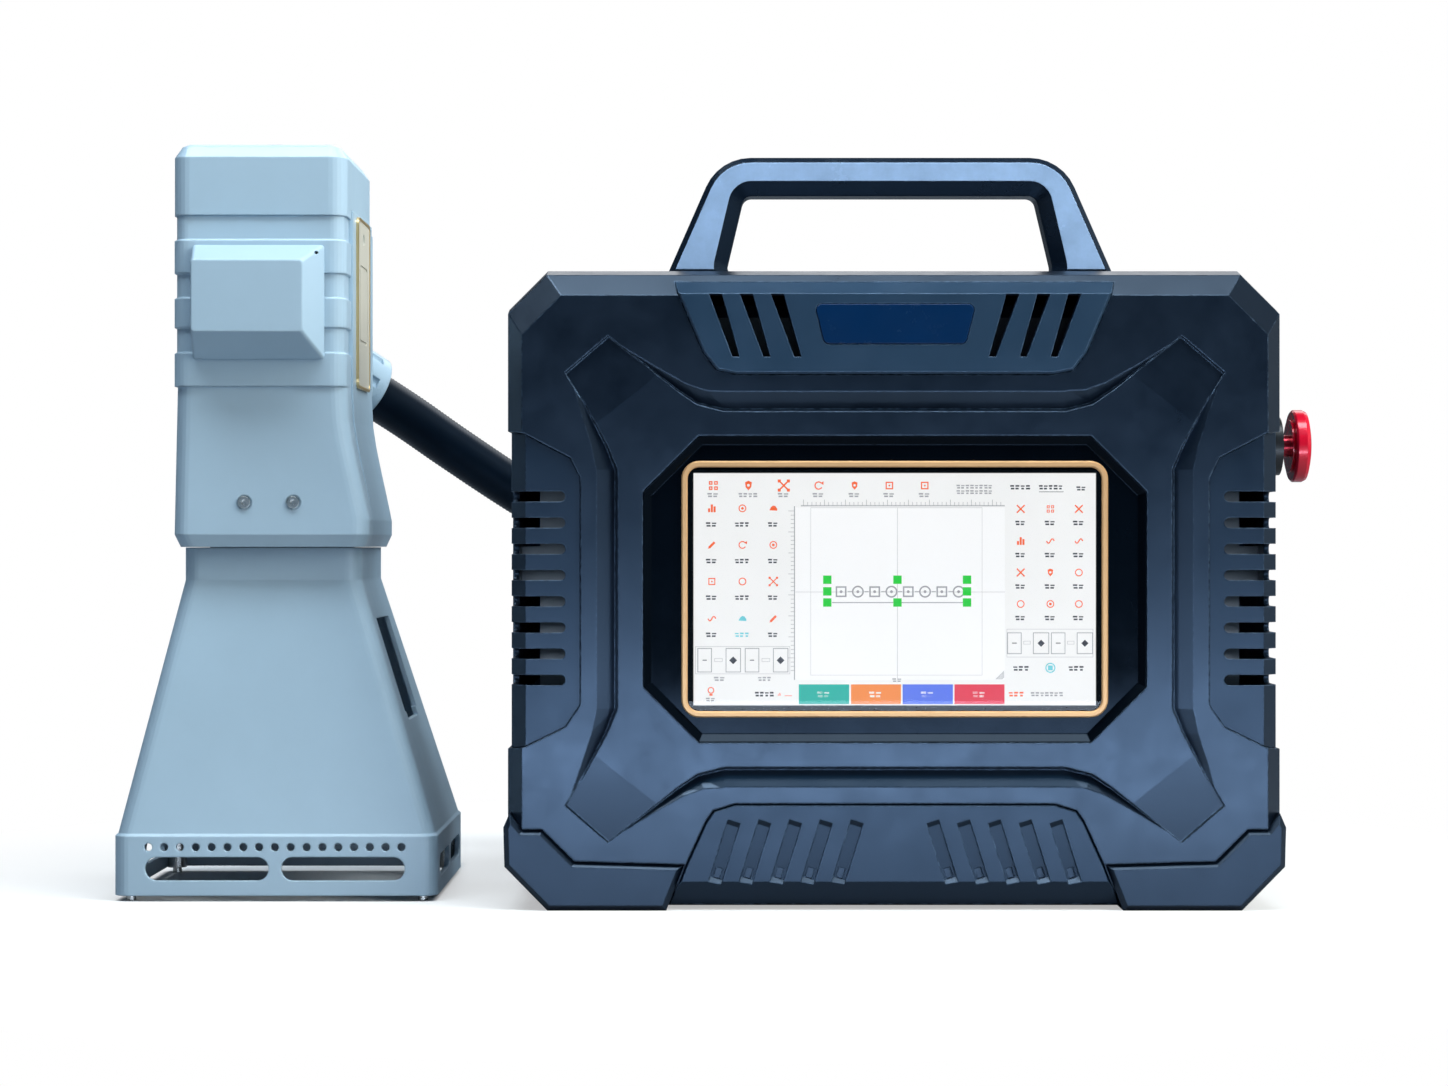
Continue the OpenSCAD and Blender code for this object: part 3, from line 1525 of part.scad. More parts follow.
module trigger() {
    y1 = grip_reach - grip_bar;
    color([0.13, 0.15, 0.2])
    at_head() translate([body_shift - trigger_w / 2, y1 - trigger_t, trigger_z - trigger_h / 2])
        cube([trigger_w, trigger_t + trigger_deep, trigger_h]);
}

module head_gland() {
    color([0.6, 0.7, 0.82])
    at_head() translate(head_gland_at) rotate(turned_to(gland_dir)) gland();
}

// Optics

module galvo_block() {
    color([0.66, 0.67, 0.69])
    at_head() difference() {
        box_of([beam_x - beam_step - block_w / 3, beam_y - block_d / 2, beam_z - block_h / 2],
            [beam_x - beam_step - block_w / 3 + block_w, beam_y + block_d / 2, beam_z + block_h / 2]);
        box_of([beam_x - beam_step - chamber / 3, beam_y - chamber / 2, beam_z - block_h / 2 - over],
            [beam_x + chamber / 2, beam_y + chamber / 2, beam_z + chamber / 2]);
        translate([beam_x - beam_step, 0, beam_z])
            rod_y(collimator_d + 2 * run_gap, beam_y, beam_y + block_d / 2 + over);
        translate([beam_x - beam_step, beam_y, 0])
            rod_z(motor_d / 2, beam_z, beam_z + block_h / 2 + over);
        translate([beam_x, 0, beam_z]) rod_y(motor_d / 2, beam_y - block_d / 2 - over, beam_y);
    }
}

module galvo_motors() {
    y1 = beam_y - block_d / 2;
    z0 = beam_z + block_h / 2;
    color([0.25, 0.26, 0.28])
    at_head() {
        translate([beam_x, 0, beam_z]) difference() {
            rod_y(motor_d, y1 - motor_l, y1);
            rod_y(shaft_d + 2 * run_gap, y1 - shaft_l, y1 + over);
        }
        translate([beam_x - beam_step, beam_y, 0]) difference() {
            rod_z(motor_d, z0, z0 + motor_l);
            rod_z(shaft_d + 2 * run_gap, z0 - over, z0 + shaft_l);
        }
    }
}

// The mirror on the upright shaft, under its motor
module mirror_x() {
    z0 = beam_z + block_h / 2;
    color([0.85, 0.8, 0.6])
    at_head() translate([beam_x - beam_step, beam_y, 0]) {
        rod_z(shaft_d, beam_z + mirror_l / 2 - over, z0 + shaft_l - rear_gap);
        translate([0, 0, beam_z]) rotate([0, 0, 45])
            cube([mirror_w, mirror_t, mirror_l], center = true);
    }
}

// The mirror on the level shaft, behind its motor
module mirror_y() {
    y1 = beam_y - block_d / 2;
    color([0.85, 0.8, 0.6])
    at_head() translate([beam_x, 0, beam_z]) {
        rod_y(shaft_d, y1 - shaft_l + rear_gap, beam_y - mirror_l / 2 + over);
        translate([0, beam_y, 0]) rotate([0, 45, 0]) cube([mirror_w, mirror_l, mirror_t], center = true);
    }
}

module collimator() {
    y0 = beam_y + chamber / 2;
    color([0.5, 0.52, 0.55])
    at_head() translate([beam_x - beam_step, 0, beam_z]) difference() {
        rod_y(collimator_d, y0, y0 + collimator_l);
        rod_y(collimator_d / 2, y0 - over, y0 + collimator_l / 2);
    }
}

module lens_barrel() {
    top = lens_low + lens_l;
    color([0.1, 0.1, 0.11])
    at_head() translate([beam_x, beam_y, 0]) difference() {
        union() {
            rod_z(lens_d, lens_low, top);
            rod_z(lens_d * lens_neck_share, top, beam_z - block_h / 2);
            translate([-beam_x, -beam_y, top - lens_plate_t]) linear_extrude(lens_plate_t)
                polygon(round_box(
                    [body_left + head_wall + lens_plate_in, -body_front + head_wall + skirt_in / 2],
                    [body_right + skirt_flare * 0.55 - head_wall, body_back + skirt_rear / 2 - head_wall],
                    lens_plate_r, body_steps));
        }
        rod_z(lens_glass_d, lens_low - over, lens_low + lens_glass_t + over);
        rod_z(lens_glass_d * 0.8, lens_low, top - lens_plate_t / 2);
        rod_z(lens_d * 0.5, top - lens_plate_t, beam_z - block_h / 2 + over);
    }
}

module lens_glass() {
    color([0.5, 0.7, 0.75, 0.5])
    at_head() translate([beam_x, beam_y, 0])
        rod_z(lens_glass_d - seam / 2, lens_low + over, lens_low + over + lens_glass_t);
}

module driver_board() {
    x1 = body_right - head_wall - band_dip - driver_set;
    color([0.05, 0.35, 0.2])
    at_head() translate([x1, 0, driver_z]) {
        box_of([-driver_t, -driver_w / 2, 0], [0, driver_w / 2, driver_h]);
        for (y = [-1, 1], z = [0.1, 0.9])
            translate([0, y * driver_w * 0.42, z * driver_h])
                rod_x(post_d, 0, driver_set + band_dip + seam);
        for (y = [-0.5, 0.1], z = [0.2, 0.6])
            translate([-driver_t - chip_t / 2, y * driver_w / 2, z * driver_h])
                cube([chip_t / 2, driver_w / 5, driver_h / 6]);
    }
}

// Hose

// A point on the smooth curve through the points of a route, t counts its spans
function along(p, t) =
    let (i = min(floor(t), len(p) - 2), f = t - i, a = p[max(i - 1, 0)], b = p[i], c = p[i + 1],
        d = p[min(i + 2, len(p) - 1)], m0 = i == 0 ? c - b : (c - a) / 2,
        m1 = i == len(p) - 2 ? c - b : (d - b) / 2)
        b * (2 * f * f * f - 3 * f * f + 1) + m0 * (f * f * f - 2 * f * f + f)
            + c * (3 * f * f - 2 * f * f * f) + m1 * (f * f * f - f * f);

function heading(p, t) =
    let (e = 0.02) unit(along(p, min(t + e, len(p) - 1)) - along(p, max(t - e, 0)));

// A ring of points round c, square to direction d, counter-clockwise to one who looks along d
function hose_ring(c, d, r, sides) =
    let (s = unit(cross([0, 0, 1], d)), u = cross(d, s))
        [for (j = [0:sides - 1]) let (a = -360 * (j + 0.5) / sides) c + r * (cos(a) * s + sin(a) * u)];

function rings_along(p, ts, r, sides) = [for (t = ts) hose_ring(along(p, t), heading(p, t), r, sides)];

// A skin that runs out along its outer rings and back along its inner rings
module hollow_skin(outer, inner) {
    rings = concat(outer, [for (i = [len(inner) - 1:-1:0]) inner[i]], [outer[0]]);
    n = len(outer[0]);
    count = n * (len(rings) - 1);
    polyhedron([for (i = [0:len(rings) - 2]) each rings[i]],
        [for (f = ring_sides(n, len(rings))) [for (k = f) k % count]]);
}

module hose_stretch() {
    p = stretch_route;
    last = len(p) - 1;
    r = hose_d / 2;
    outer = concat(
        rings_along(p, [0, 1 / ribs_per_span], r, hose_sides),
        [for (i = [3:2 * ribs_per_span * ribbed_spans])
            let (t = i / (2 * ribs_per_span))
                hose_ring(along(p, t), heading(p, t), i % 2 == 0 ? r : r - rib_cut, hose_sides)],
        rings_along(p, [for (t = [ribbed_spans + 0.5:0.5:last]) t], r, hose_sides));
    inner = rings_along(p, [for (t = [0:0.5:last]) t], hose_bore / 2, hose_sides);
    color([0.07, 0.08, 0.12])
    hollow_skin(outer, inner);
}

// Radius of the coil at a turn, drawn in where it begins
function coil_r(a) =
    let (s = min((a - coil_first_turn) / coil_dip_turn, 1))
        coil_end_r - coil_pitch * (coil_last_turn - a) / 360 - coil_dip * (1 + cos(180 * s)) / 2;

coil_points = concat(
    [stretch_route[len(stretch_route) - 1], [coil_start[0], coil_start[1], hose_d / 2]],
    [for (a = [coil_first_turn:coil_step:coil_last_turn])
        [coil_middle[0] + coil_r(a) * cos(a), coil_middle[1] + coil_r(a) * sin(a), hose_d / 2]],
    [tail_route[0]]);

module hose_coil() {
    p = coil_points;
    n = len(p) - 1;
    color([0.07, 0.08, 0.12])
    skin([for (i = [0:n]) hose_ring(p[i],
        i == 0 ? unit(p[1] - p[0]) : i == n ? unit(p[n] - p[n - 1]) : unit(p[i + 1] - p[i - 1]),
        hose_d / 2, coil_sides)]);
}

module hose_tail() {
    p = tail_route;
    color([0.07, 0.08, 0.12])
    skin(rings_along(p, [for (t = [0:0.5:len(p) - 1]) t], hose_d / 2, hose_sides));
}

front_shell();
rear_shell();
top_vent_panel();
badge_plate();
bottom_vent_panel();
left_vent_panel();
right_vent_panel();
left_corner_guard();
right_corner_guard();
carry_handle();
screen_bezel();
display_frame();
touch_glass();
display_panel();
controller_board();
chassis_plate();
laser_source();
power_supply();
fan_housings();
fan_rotor_left();
fan_rotor_right();
fan_guards();
mains_inlet();
rocker_frame();
power_rocker();
key_switch();
key();
stop_body();
stop_stem();
stop_cap();
case_gland();
case_screws();
hood();
hood_feet();
head_front_shell();
head_rear_shell();
head_top_cap();
galvo_cover();
side_plate();
side_trim();
head_screws();
rear_grip();
trigger();
head_gland();
galvo_block();
galvo_motors();
mirror_x();
mirror_y();
collimator();
lens_barrel();
lens_glass();
driver_board();
hose_stretch();
hose_coil();
hose_tail();
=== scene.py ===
import math

import bmesh
import bpy
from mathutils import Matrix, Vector


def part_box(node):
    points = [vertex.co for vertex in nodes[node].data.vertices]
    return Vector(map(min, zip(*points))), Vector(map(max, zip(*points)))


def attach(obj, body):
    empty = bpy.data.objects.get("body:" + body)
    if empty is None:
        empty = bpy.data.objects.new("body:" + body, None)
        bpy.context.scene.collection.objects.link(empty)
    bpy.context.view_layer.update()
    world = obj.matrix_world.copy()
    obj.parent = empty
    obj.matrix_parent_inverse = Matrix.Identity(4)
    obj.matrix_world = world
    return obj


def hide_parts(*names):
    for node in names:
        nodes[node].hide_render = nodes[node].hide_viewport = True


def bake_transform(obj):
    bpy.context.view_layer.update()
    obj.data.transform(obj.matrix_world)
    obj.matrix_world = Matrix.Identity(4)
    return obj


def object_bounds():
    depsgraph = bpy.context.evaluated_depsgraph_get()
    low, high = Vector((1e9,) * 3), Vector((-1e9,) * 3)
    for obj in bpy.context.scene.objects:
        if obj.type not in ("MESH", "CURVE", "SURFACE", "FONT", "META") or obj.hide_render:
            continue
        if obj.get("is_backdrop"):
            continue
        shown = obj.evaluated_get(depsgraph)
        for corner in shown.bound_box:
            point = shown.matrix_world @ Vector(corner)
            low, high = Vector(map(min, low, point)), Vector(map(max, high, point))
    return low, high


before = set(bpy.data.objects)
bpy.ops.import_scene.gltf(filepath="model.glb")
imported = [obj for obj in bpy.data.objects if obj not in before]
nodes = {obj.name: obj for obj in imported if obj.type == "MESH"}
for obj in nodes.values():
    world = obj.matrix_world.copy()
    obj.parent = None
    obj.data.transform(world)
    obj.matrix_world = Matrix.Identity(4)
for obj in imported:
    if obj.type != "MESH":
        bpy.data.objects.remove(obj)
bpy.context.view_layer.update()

# The photograph's frame, and the focal length in its own pixels
PHOTO_W, PHOTO_H = 1448, 1086
FOCAL_PX = 2914
# The camera stands level in front of the part
EYE_X, EYE_Y, EYE_Z = 0.0045, -1.749, 0.2056
SENSOR_W, LENS = 36, 72.45
CLIP_NEAR, CLIP_FAR = 0.05, 40

camera_data = bpy.data.cameras.new("camera")
camera_data.sensor_width = SENSOR_W
camera_data.lens = LENS
camera_data.clip_start = CLIP_NEAR
camera_data.clip_end = CLIP_FAR
camera = bpy.data.objects.new("camera", camera_data)
camera.location = (EYE_X, EYE_Y, EYE_Z)
camera.rotation_euler = (math.radians(90), 0, 0)
bpy.context.scene.collection.objects.link(camera)
bpy.context.scene.camera = camera

# Meshes

# Points of a smooth line between two points of its route, before it is resampled
CURVE_STEPS = 24


def link(name, bm, smooth_angle=None):
    """Turns a bmesh into an object, smooth up to smooth_angle degrees, or flat."""
    mesh = bpy.data.meshes.new(name)
    bm.normal_update()
    bm.to_mesh(mesh)
    bm.free()
    obj = bpy.data.objects.new(name, mesh)
    bpy.context.scene.collection.objects.link(obj)
    if smooth_angle is not None:
        mesh.shade_smooth()
        mesh.set_sharp_from_angle(angle=math.radians(smooth_angle))
    return obj


def catmull(points, step):
    """A smooth line through the points, resampled about every step metres, and its length."""
    pts = [Vector(p) for p in points]
    pts = [pts[0] * 2 - pts[1]] + pts + [pts[-1] * 2 - pts[-2]]
    fine = []
    for i in range(1, len(pts) - 2):
        a, b, c, d = pts[i - 1:i + 3]
        for k in range(CURVE_STEPS):
            t = k / CURVE_STEPS
            fine.append(0.5 * ((2 * b) + (c - a) * t + (2 * a - 5 * b + 4 * c - d) * t * t
                               + (3 * b - a - 3 * c + d) * t ** 3))
    fine.append(pts[-2].copy())
    lengths = [0.0]
    for a, b in zip(fine, fine[1:]):
        lengths.append(lengths[-1] + (b - a).length)
    total = lengths[-1]
    count = max(2, round(total / step))
    out, j = [], 0
    for i in range(count + 1):
        want = total * i / count
        while j < len(lengths) - 2 and lengths[j + 1] < want:
            j += 1
        span = lengths[j + 1] - lengths[j]
        out.append(fine[j].lerp(fine[j + 1], (want - lengths[j]) / span if span else 0))
    return out, total


def join_rings(bm, rings):
    """The faces between each ring of vertices and the next."""
    for a, b in zip(rings, rings[1:]):
        n = len(a)
        for k in range(n):
            bm.faces.new((a[k], a[(k + 1) % n], b[(k + 1) % n], b[k]))


def tube(bm, line, radius_at, sides):
    """Sweeps a ring along a line with a frame that doesn't twist, and closes both ends."""
    rings = []
    tangent = (line[1] - line[0]).normalized()
    side = tangent.orthogonal().normalized()
    for i, p in enumerate(line):
        new = (line[min(i + 1, len(line) - 1)] - line[max(i - 1, 0)]).normalized()
        side = (tangent.rotation_difference(new) @ side).normalized()
        side = (side - new * side.dot(new)).normalized()
        tangent = new
        up = tangent.cross(side)
        r = radius_at(i)
        turns = [2 * math.pi * k / sides for k in range(sides)]
        rings.append([bm.verts.new(p + (side * math.cos(t) + up * math.sin(t)) * r) for t in turns])
    join_rings(bm, rings)
    bm.faces.new(list(reversed(rings[0])))
    bm.faces.new(rings[-1])


# Hose: the points, in millimetres, that part.scad chooses for its centre line. The stretch hangs from the gland of
# the head to the floor, and the tail rises from the coil to the gland of the case.
MM = 1000
STRETCH_ROUTE = [(-221, 101, 302), (-197, 119, 286), (-169, 136, 266), (-132, 150, 241), (-91, 157, 216),
                 (-45, 158, 188), (0, 153, 160), (45, 147, 134), (85, 141, 111), (117, 138, 94),
                 (148, 142, 78), (178, 154, 63), (203, 174, 51), (222, 199, 41), (233, 228, 33),
                 (239, 260, 24), (234, 292, 18), (222, 321, 15), (207, 347, 15), (192, 373, 15)]
TAIL_ROUTE = [(-88, 255, 15), (-88, 228, 18), (-88, 201, 27), (-88, 174, 45), (-88, 147, 63),
              (-88, 120, 72), (-88, 93, 75), (-88, 63, 75)]
# The coil between them: its centre, its angles in degrees, its radius at the last of them, what that gains in a
# turn, and the dip by which it starts further in, over its first degrees
COIL_X, COIL_Y, COIL_Z = 100, 285, 15
COIL_START, COIL_END, COIL_STEP = 60, 540, 15
COIL_R, COIL_GAIN = 188, 31.2
COIL_DIP, DIP_SPAN = 17.4, 135
RIB_PITCH = 0.0024
RIB_R, GROOVE_R = 0.01500, 0.01462
HOSE_SIDES, HOSE_SMOOTH = 18, 60
PATH_STEP = 0.012


def coil_radius(a):
    eased = math.radians(180 * min((a - COIL_START) / DIP_SPAN, 1))
    return COIL_R - COIL_GAIN * (COIL_END - a) / 360 - COIL_DIP * (1 + math.cos(eased)) / 2


def coil_point(a):
    r = coil_radius(a)
    return (COIL_X + r * math.cos(math.radians(a)), COIL_Y + r * math.sin(math.radians(a)), COIL_Z)


coil_route = [coil_point(a) for a in range(COIL_START, COIL_END, COIL_STEP)]
route = [tuple(v / MM for v in p) for p in STRETCH_ROUTE + coil_route + TAIL_ROUTE]
line, hose_length = catmull(route, RIB_PITCH / 2)
bm = bmesh.new()
tube(bm, line, lambda i: GROOVE_R if i % 2 else RIB_R, HOSE_SIDES)
hose = link("hose", bm, HOSE_SMOOTH)
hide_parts("hose_stretch", "hose_coil", "hose_tail")
hose_path, _ = catmull(route, PATH_STEP)

# Two straps that hold the turns of the coil together, each a band round two turns with thinner edges. Angles are
# in degrees; the lowest points of a band's outer and inner face lie just over the floor.
TIE_ANGLES = (96, 156)
TIE_R, TIE_Z = 0.0154, 0.0157
TIE_T, TIE_EDGE_T = 0.0011, 0.0002
TIE_HALF_W, TIE_FULL_T_W = 0.0105, 0.0098
TIE_LOW, TIE_LOW_INSIDE = 0.00025, 0.00028
TIE_ARC, TIE_SMOOTH = 16, 40
# Each ring of a band: how far from its middle, how far outside its inner face, and how low it may come
TIE_RINGS = ((-TIE_HALF_W, TIE_EDGE_T, TIE_LOW), (-TIE_FULL_T_W, TIE_T, TIE_LOW), (TIE_FULL_T_W, TIE_T, TIE_LOW),
             (TIE_HALF_W, TIE_EDGE_T, TIE_LOW), (TIE_HALF_W, 0, TIE_LOW_INSIDE), (-TIE_HALF_W, 0, TIE_LOW_INSIDE))

ties = []
for index, angle in enumerate(TIE_ANGLES):
    inner, outer = coil_radius(angle), coil_radius(angle + 360)
    mid, half = (inner + outer) / (2 * MM), (outer - inner) / (2 * MM)
    radial = Vector((math.cos(math.radians(angle)), math.sin(math.radians(angle)), 0))
    along = Vector((-radial.y, radial.x, 0))
    centre = Vector((COIL_X / MM, COIL_Y / MM, TIE_Z)) + radial * mid
    outline = [(x + TIE_R * math.cos(t0 + math.pi * k / TIE_ARC), TIE_R * math.sin(t0 + math.pi * k / TIE_ARC))
               for x, t0 in ((half, -math.pi / 2), (-half, math.pi / 2)) for k in range(TIE_ARC + 1)]
    bm = bmesh.new()
    rings = []
    for w, grow, lowest in TIE_RINGS:
        ring = []
        for x, z in outline:
            n = Vector((x - max(-half, min(half, x)), 0, z)).normalized()
            ring.append(bm.verts.new(centre + radial * (x + n.x * grow) + along * w
                                     + Vector((0, 0, max(lowest - TIE_Z, z + n.z * grow)))))
        rings.append(ring)
    join_rings(bm, rings + rings[:1])
    bmesh.ops.recalc_face_normals(bm, faces=bm.faces)
    tie = link(f"hose_tie_{index + 1}", bm, TIE_SMOOTH)
    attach(tie, "case")
    ties.append(tie)

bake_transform(hose)
print("hose length", round(hose_length, 4))

# Materials

# Noises as (scale, detail, roughness), and the spans of noise that a ramp runs over
CLOUDS = (14, 4, 0.6)
MOTTLE = (60, 5, 0.7)
EDGE_PATCHES = (240, 4, 0.6)
GLOSS = (38, 5, 0.65)
BRUSH = (30, 3, 0.7)
PAPER = (3, 3)
BACKLIGHT = (9, 3)
GRAIN_DETAIL = (2, 0.5)
MIDDLE, WIDE_MIDDLE, EDGE_PATCH_SPAN = (0.3, 0.7), (0.25, 0.75), (0.42, 0.62)
# Worn edges, which on the navy plastics also carry a painted highlight, run over this span of the cosine between the
WORN_AND_HIGHLIT_SPAN = (0.995, 0.86)
# Faces that look straight ahead, by the y of their normal, where a painted sheen goes
AHEAD_SPAN = (-0.97, -0.998)
# The painted sheen is mottled between these shares of its colour
PAINTED_SHEEN_DARK, PAINTED_SHEEN_LIGHT = 0.86, 1.1
BRUSH_STRENGTH, BRUSH_DEPTH = 0.25, 0.0001
EDGE_SAMPLES = 6
LEAST_ROUGH = 0.02
SHEEN_ROUGH = 0.4


def new_material(name):
    m = bpy.data.materials.new(name)
    m.use_nodes = True
    tree = m.node_tree
    return m, tree, tree.nodes["Principled BSDF"]


def coordinates(tree, kind="Object"):
    return tree.nodes.new("ShaderNodeTexCoord").outputs[kind]


def noise(tree, coords, scale, detail=3, roughness=0.5):
    n = tree.nodes.new("ShaderNodeTexNoise")
    n.inputs["Scale"].default_value = scale
    n.inputs["Detail"].default_value = detail
    n.inputs["Roughness"].default_value = roughness
    tree.links.new(coords, n.inputs["Vector"])
    return n.outputs["Fac"]


def ramp(tree, value, low, high, a=0, b=1):
    """A straight ramp from a, where the value is low, to b, where it is high."""
    n = tree.nodes.new("ShaderNodeMapRange")
    n.inputs["From Min"].default_value = low
    n.inputs["From Max"].default_value = high
    n.inputs["To Min"].default_value = a
    n.inputs["To Max"].default_value = b
    tree.links.new(value, n.inputs["Value"])
    return n.outputs["Result"]


def calculate(tree, operation, a, b):
    """A Math node on an output, and another output or a number."""
    n = tree.nodes.new("ShaderNodeMath")
    n.operation = operation
    tree.links.new(a, n.inputs[0])
    if isinstance(b, float):
        n.inputs[1].default_value = b
    else:
        tree.links.new(b, n.inputs[1])
    return n.outputs["Value"]


def vector_node(tree, operation, a, b=None, output="Vector"):
    """A Vector Math node on an output, and another output or a list of three numbers where it takes one."""
    n = tree.nodes.new("ShaderNodeVectorMath")
    n.operation = operation
    tree.links.new(a, n.inputs[0])
    if isinstance(b, list):
        n.inputs[1].default_value = b
    elif b is not None:
        tree.links.new(b, n.inputs[1])
    return n.outputs[output]


def axes(tree, vector):
    n = tree.nodes.new("ShaderNodeSeparateXYZ")
    tree.links.new(vector, n.inputs[0])
    return n.outputs


def mix_colour(tree, fac, a, b):
    """Mixes two colours, each a tuple or an output, by a float or an output."""
    n = tree.nodes.new("ShaderNodeMix")
    n.data_type = "RGBA"
    for socket, c in (("A", a), ("B", b)):
        i = [s for s in n.inputs if s.name == socket and s.type == "RGBA"][0]
        if isinstance(c, tuple):
            i.default_value = (*c[:3], 1)
        else:
            tree.links.new(c, i)
    i = [s for s in n.inputs if s.name == "Factor" and s.type == "VALUE"][0]
    if isinstance(fac, float):
        i.default_value = fac
    else:
        tree.links.new(fac, i)
    return [o for o in n.outputs if o.type == "RGBA"][0]


def bump(tree, height, strength, distance, normal=None):
    n = tree.nodes.new("ShaderNodeBump")
    n.inputs["Strength"].default_value = strength
    n.inputs["Distance"].default_value = distance
    tree.links.new(height, n.inputs["Height"])
    if normal is not None:
        tree.links.new(normal, n.inputs["Normal"])
    return n.outputs["Normal"]


def rounded(tree, radius):
    """The normal of edges that are rounded off by radius."""
    n = tree.nodes.new("ShaderNodeBevel")
    n.samples = EDGE_SAMPLES
    n.inputs["Radius"].default_value = radius
    return n.outputs["Normal"]


def shades(colour, dark, light):
    """The colour times dark, and times light but no more than white."""
    return tuple(c * dark for c in colour), tuple(min(1, c * light) for c in colour)


def surface(name, base, rough, metallic=0.0, grain=None, cloud=0.08, edge=0.0006, edge_wear_and_highlight=None, specular=0.5,
            tint=None, coat=0.0, coat_rough=0.1, rough_span=0.06, brushed=None, sheen=0.0, painted_sheen=None):
    """A finish: slow colour variation, a fine grain in the bump, uneven gloss, soft edges and a lighter colour on
    them.
    grain is (scale, strength, distance), wear is (colour, share) of the lighter edges, worn and on the navy plastics
    also a painted highlight, brushed stretches the brush marks along the axes where it is small, and face is
    a paler colour painted on the faces that look straight ahead: a painted sheen."""
    m, tree, shader = new_material(name)
    coords = coordinates(tree)
    shader.inputs["Metallic"].default_value = metallic
    shader.inputs["Specular IOR Level"].default_value = specular
    if tint:
        shader.inputs["Specular Tint"].default_value = (*tint, 1)
    if coat:
        shader.inputs["Coat Weight"].default_value = coat
        shader.inputs["Coat Roughness"].default_value = coat_rough
    if sheen:
        shader.inputs["Sheen Weight"].default_value = sheen
        shader.inputs["Sheen Roughness"].default_value = SHEEN_ROUGH
    clouds = ramp(tree, noise(tree, coords, *CLOUDS), *MIDDLE)
    colour = mix_colour(tree, clouds, *shades(base, 1 - cloud, 1 + cloud))
    # Painted sheen: a paler, mottled colour on the faces that look straight ahead
    if painted_sheen:
        ahead = axes(tree, coordinates(tree, "Normal"))["Y"]
        spots = ramp(tree, noise(tree, coords, *MOTTLE), *MIDDLE)
        painted_sheen_colour = mix_colour(tree, spots, *shades(painted_sheen, PAINTED_SHEEN_DARK, PAINTED_SHEEN_LIGHT))
        colour = mix_colour(tree, ramp(tree, ahead, *AHEAD_SPAN), colour, painted_sheen_colour)
    normal = rounded(tree, edge) if edge else None
    # Lighter colour on the edges, broken into patches: worn edges, and on the navy plastics a painted highlight as
    # well
    if edge_wear_and_highlight and edge:
        flat = tree.nodes.new("ShaderNodeNewGeometry").outputs["True Normal"]
        cosine = vector_node(tree, "DOT_PRODUCT", normal, flat, "Value")
        edge_patches = ramp(tree, noise(tree, coords, *EDGE_PATCHES), *EDGE_PATCH_SPAN)
        worn_and_highlit = calculate(tree, "MULTIPLY", ramp(tree, cosine, *WORN_AND_HIGHLIT_SPAN), edge_patches)
        colour = mix_colour(tree, calculate(tree, "MULTIPLY", worn_and_highlit, edge_wear_and_highlight[1]), colour, edge_wear_and_highlight[0])
    tree.links.new(colour, shader.inputs["Base Color"])
    gloss = ramp(tree, noise(tree, coords, *GLOSS), *WIDE_MIDDLE, max(LEAST_ROUGH, rough - rough_span),
                 min(1, rough + rough_span))
    tree.links.new(gloss, shader.inputs["Roughness"])
    if brushed:
        mapping = tree.nodes.new("ShaderNodeMapping")
        mapping.inputs["Scale"].default_value = brushed
        tree.links.new(coords, mapping.inputs["Vector"])
        marks = noise(tree, mapping.outputs["Vector"], *BRUSH)
        normal = bump(tree, marks, BRUSH_STRENGTH, BRUSH_DEPTH, normal)
    if grain:
        normal = bump(tree, noise(tree, coords, grain[0], *GRAIN_DETAIL), grain[1], grain[2], normal)
    if normal is not None:
        tree.links.new(normal, shader.inputs["Normal"])
    return m


def clear(name, colour, ior, transmission, specular=0.5):
    m, _, shader = new_material(name)
    shader.inputs["Base Color"].default_value = (*colour, 1)
    shader.inputs["Roughness"].default_value = LEAST_ROUGH
    shader.inputs["IOR"].default_value = ior
    shader.inputs["Transmission Weight"].default_value = transmission
    shader.inputs["Specular IOR Level"].default_value = specular
    return m


def dress(material, *names):
    for n in names:
        obj = nodes[n]
        obj.data.materials.clear()
        obj.data.materials.append(material)


# Controller case
NAVY_TINT, HANDLE_TINT = (0.52, 0.72, 1.0), (0.6, 0.78, 1.0)
# Lighter edges of the navy plastics: a little wear and a painted highlight along the edges
NAVY_WEAR_AND_HIGHLIGHT = ((0.13, 0.21, 0.33), 0.75)
dress(surface("case_plastic", (0.0012, 0.0034, 0.0085), 0.33, grain=(1500, 0.12, 0.0001), edge=0.0012,
              edge_wear_and_highlight=NAVY_WEAR_AND_HIGHLIGHT, specular=0.9, tint=NAVY_TINT, cloud=0.12), "front_shell", "rear_shell")
dress(surface("panel_plastic", (0.0030, 0.0085, 0.0190), 0.36, grain=(1200, 0.16, 0.0001), edge=0.0009,
              edge_wear_and_highlight=NAVY_WEAR_AND_HIGHLIGHT, specular=0.7, tint=NAVY_TINT, cloud=0.12),
      "bottom_vent_panel", "left_vent_panel", "right_vent_panel")
dress(surface("vent_plastic", (0.014, 0.036, 0.070), 0.36, grain=(1200, 0.16, 0.0001), edge=0.0009,
              edge_wear_and_highlight=NAVY_WEAR_AND_HIGHLIGHT, specular=0.9, tint=NAVY_TINT, cloud=0.12), "top_vent_panel")
dress(surface("guard_rubber", (0.0016, 0.0044, 0.0105), 0.40, grain=(1800, 0.2, 0.0001), edge=0.001,
              edge_wear_and_highlight=((0.09, 0.13, 0.19), 0.4), specular=0.8, tint=NAVY_TINT, cloud=0.12),
      "left_corner_guard", "right_corner_guard")
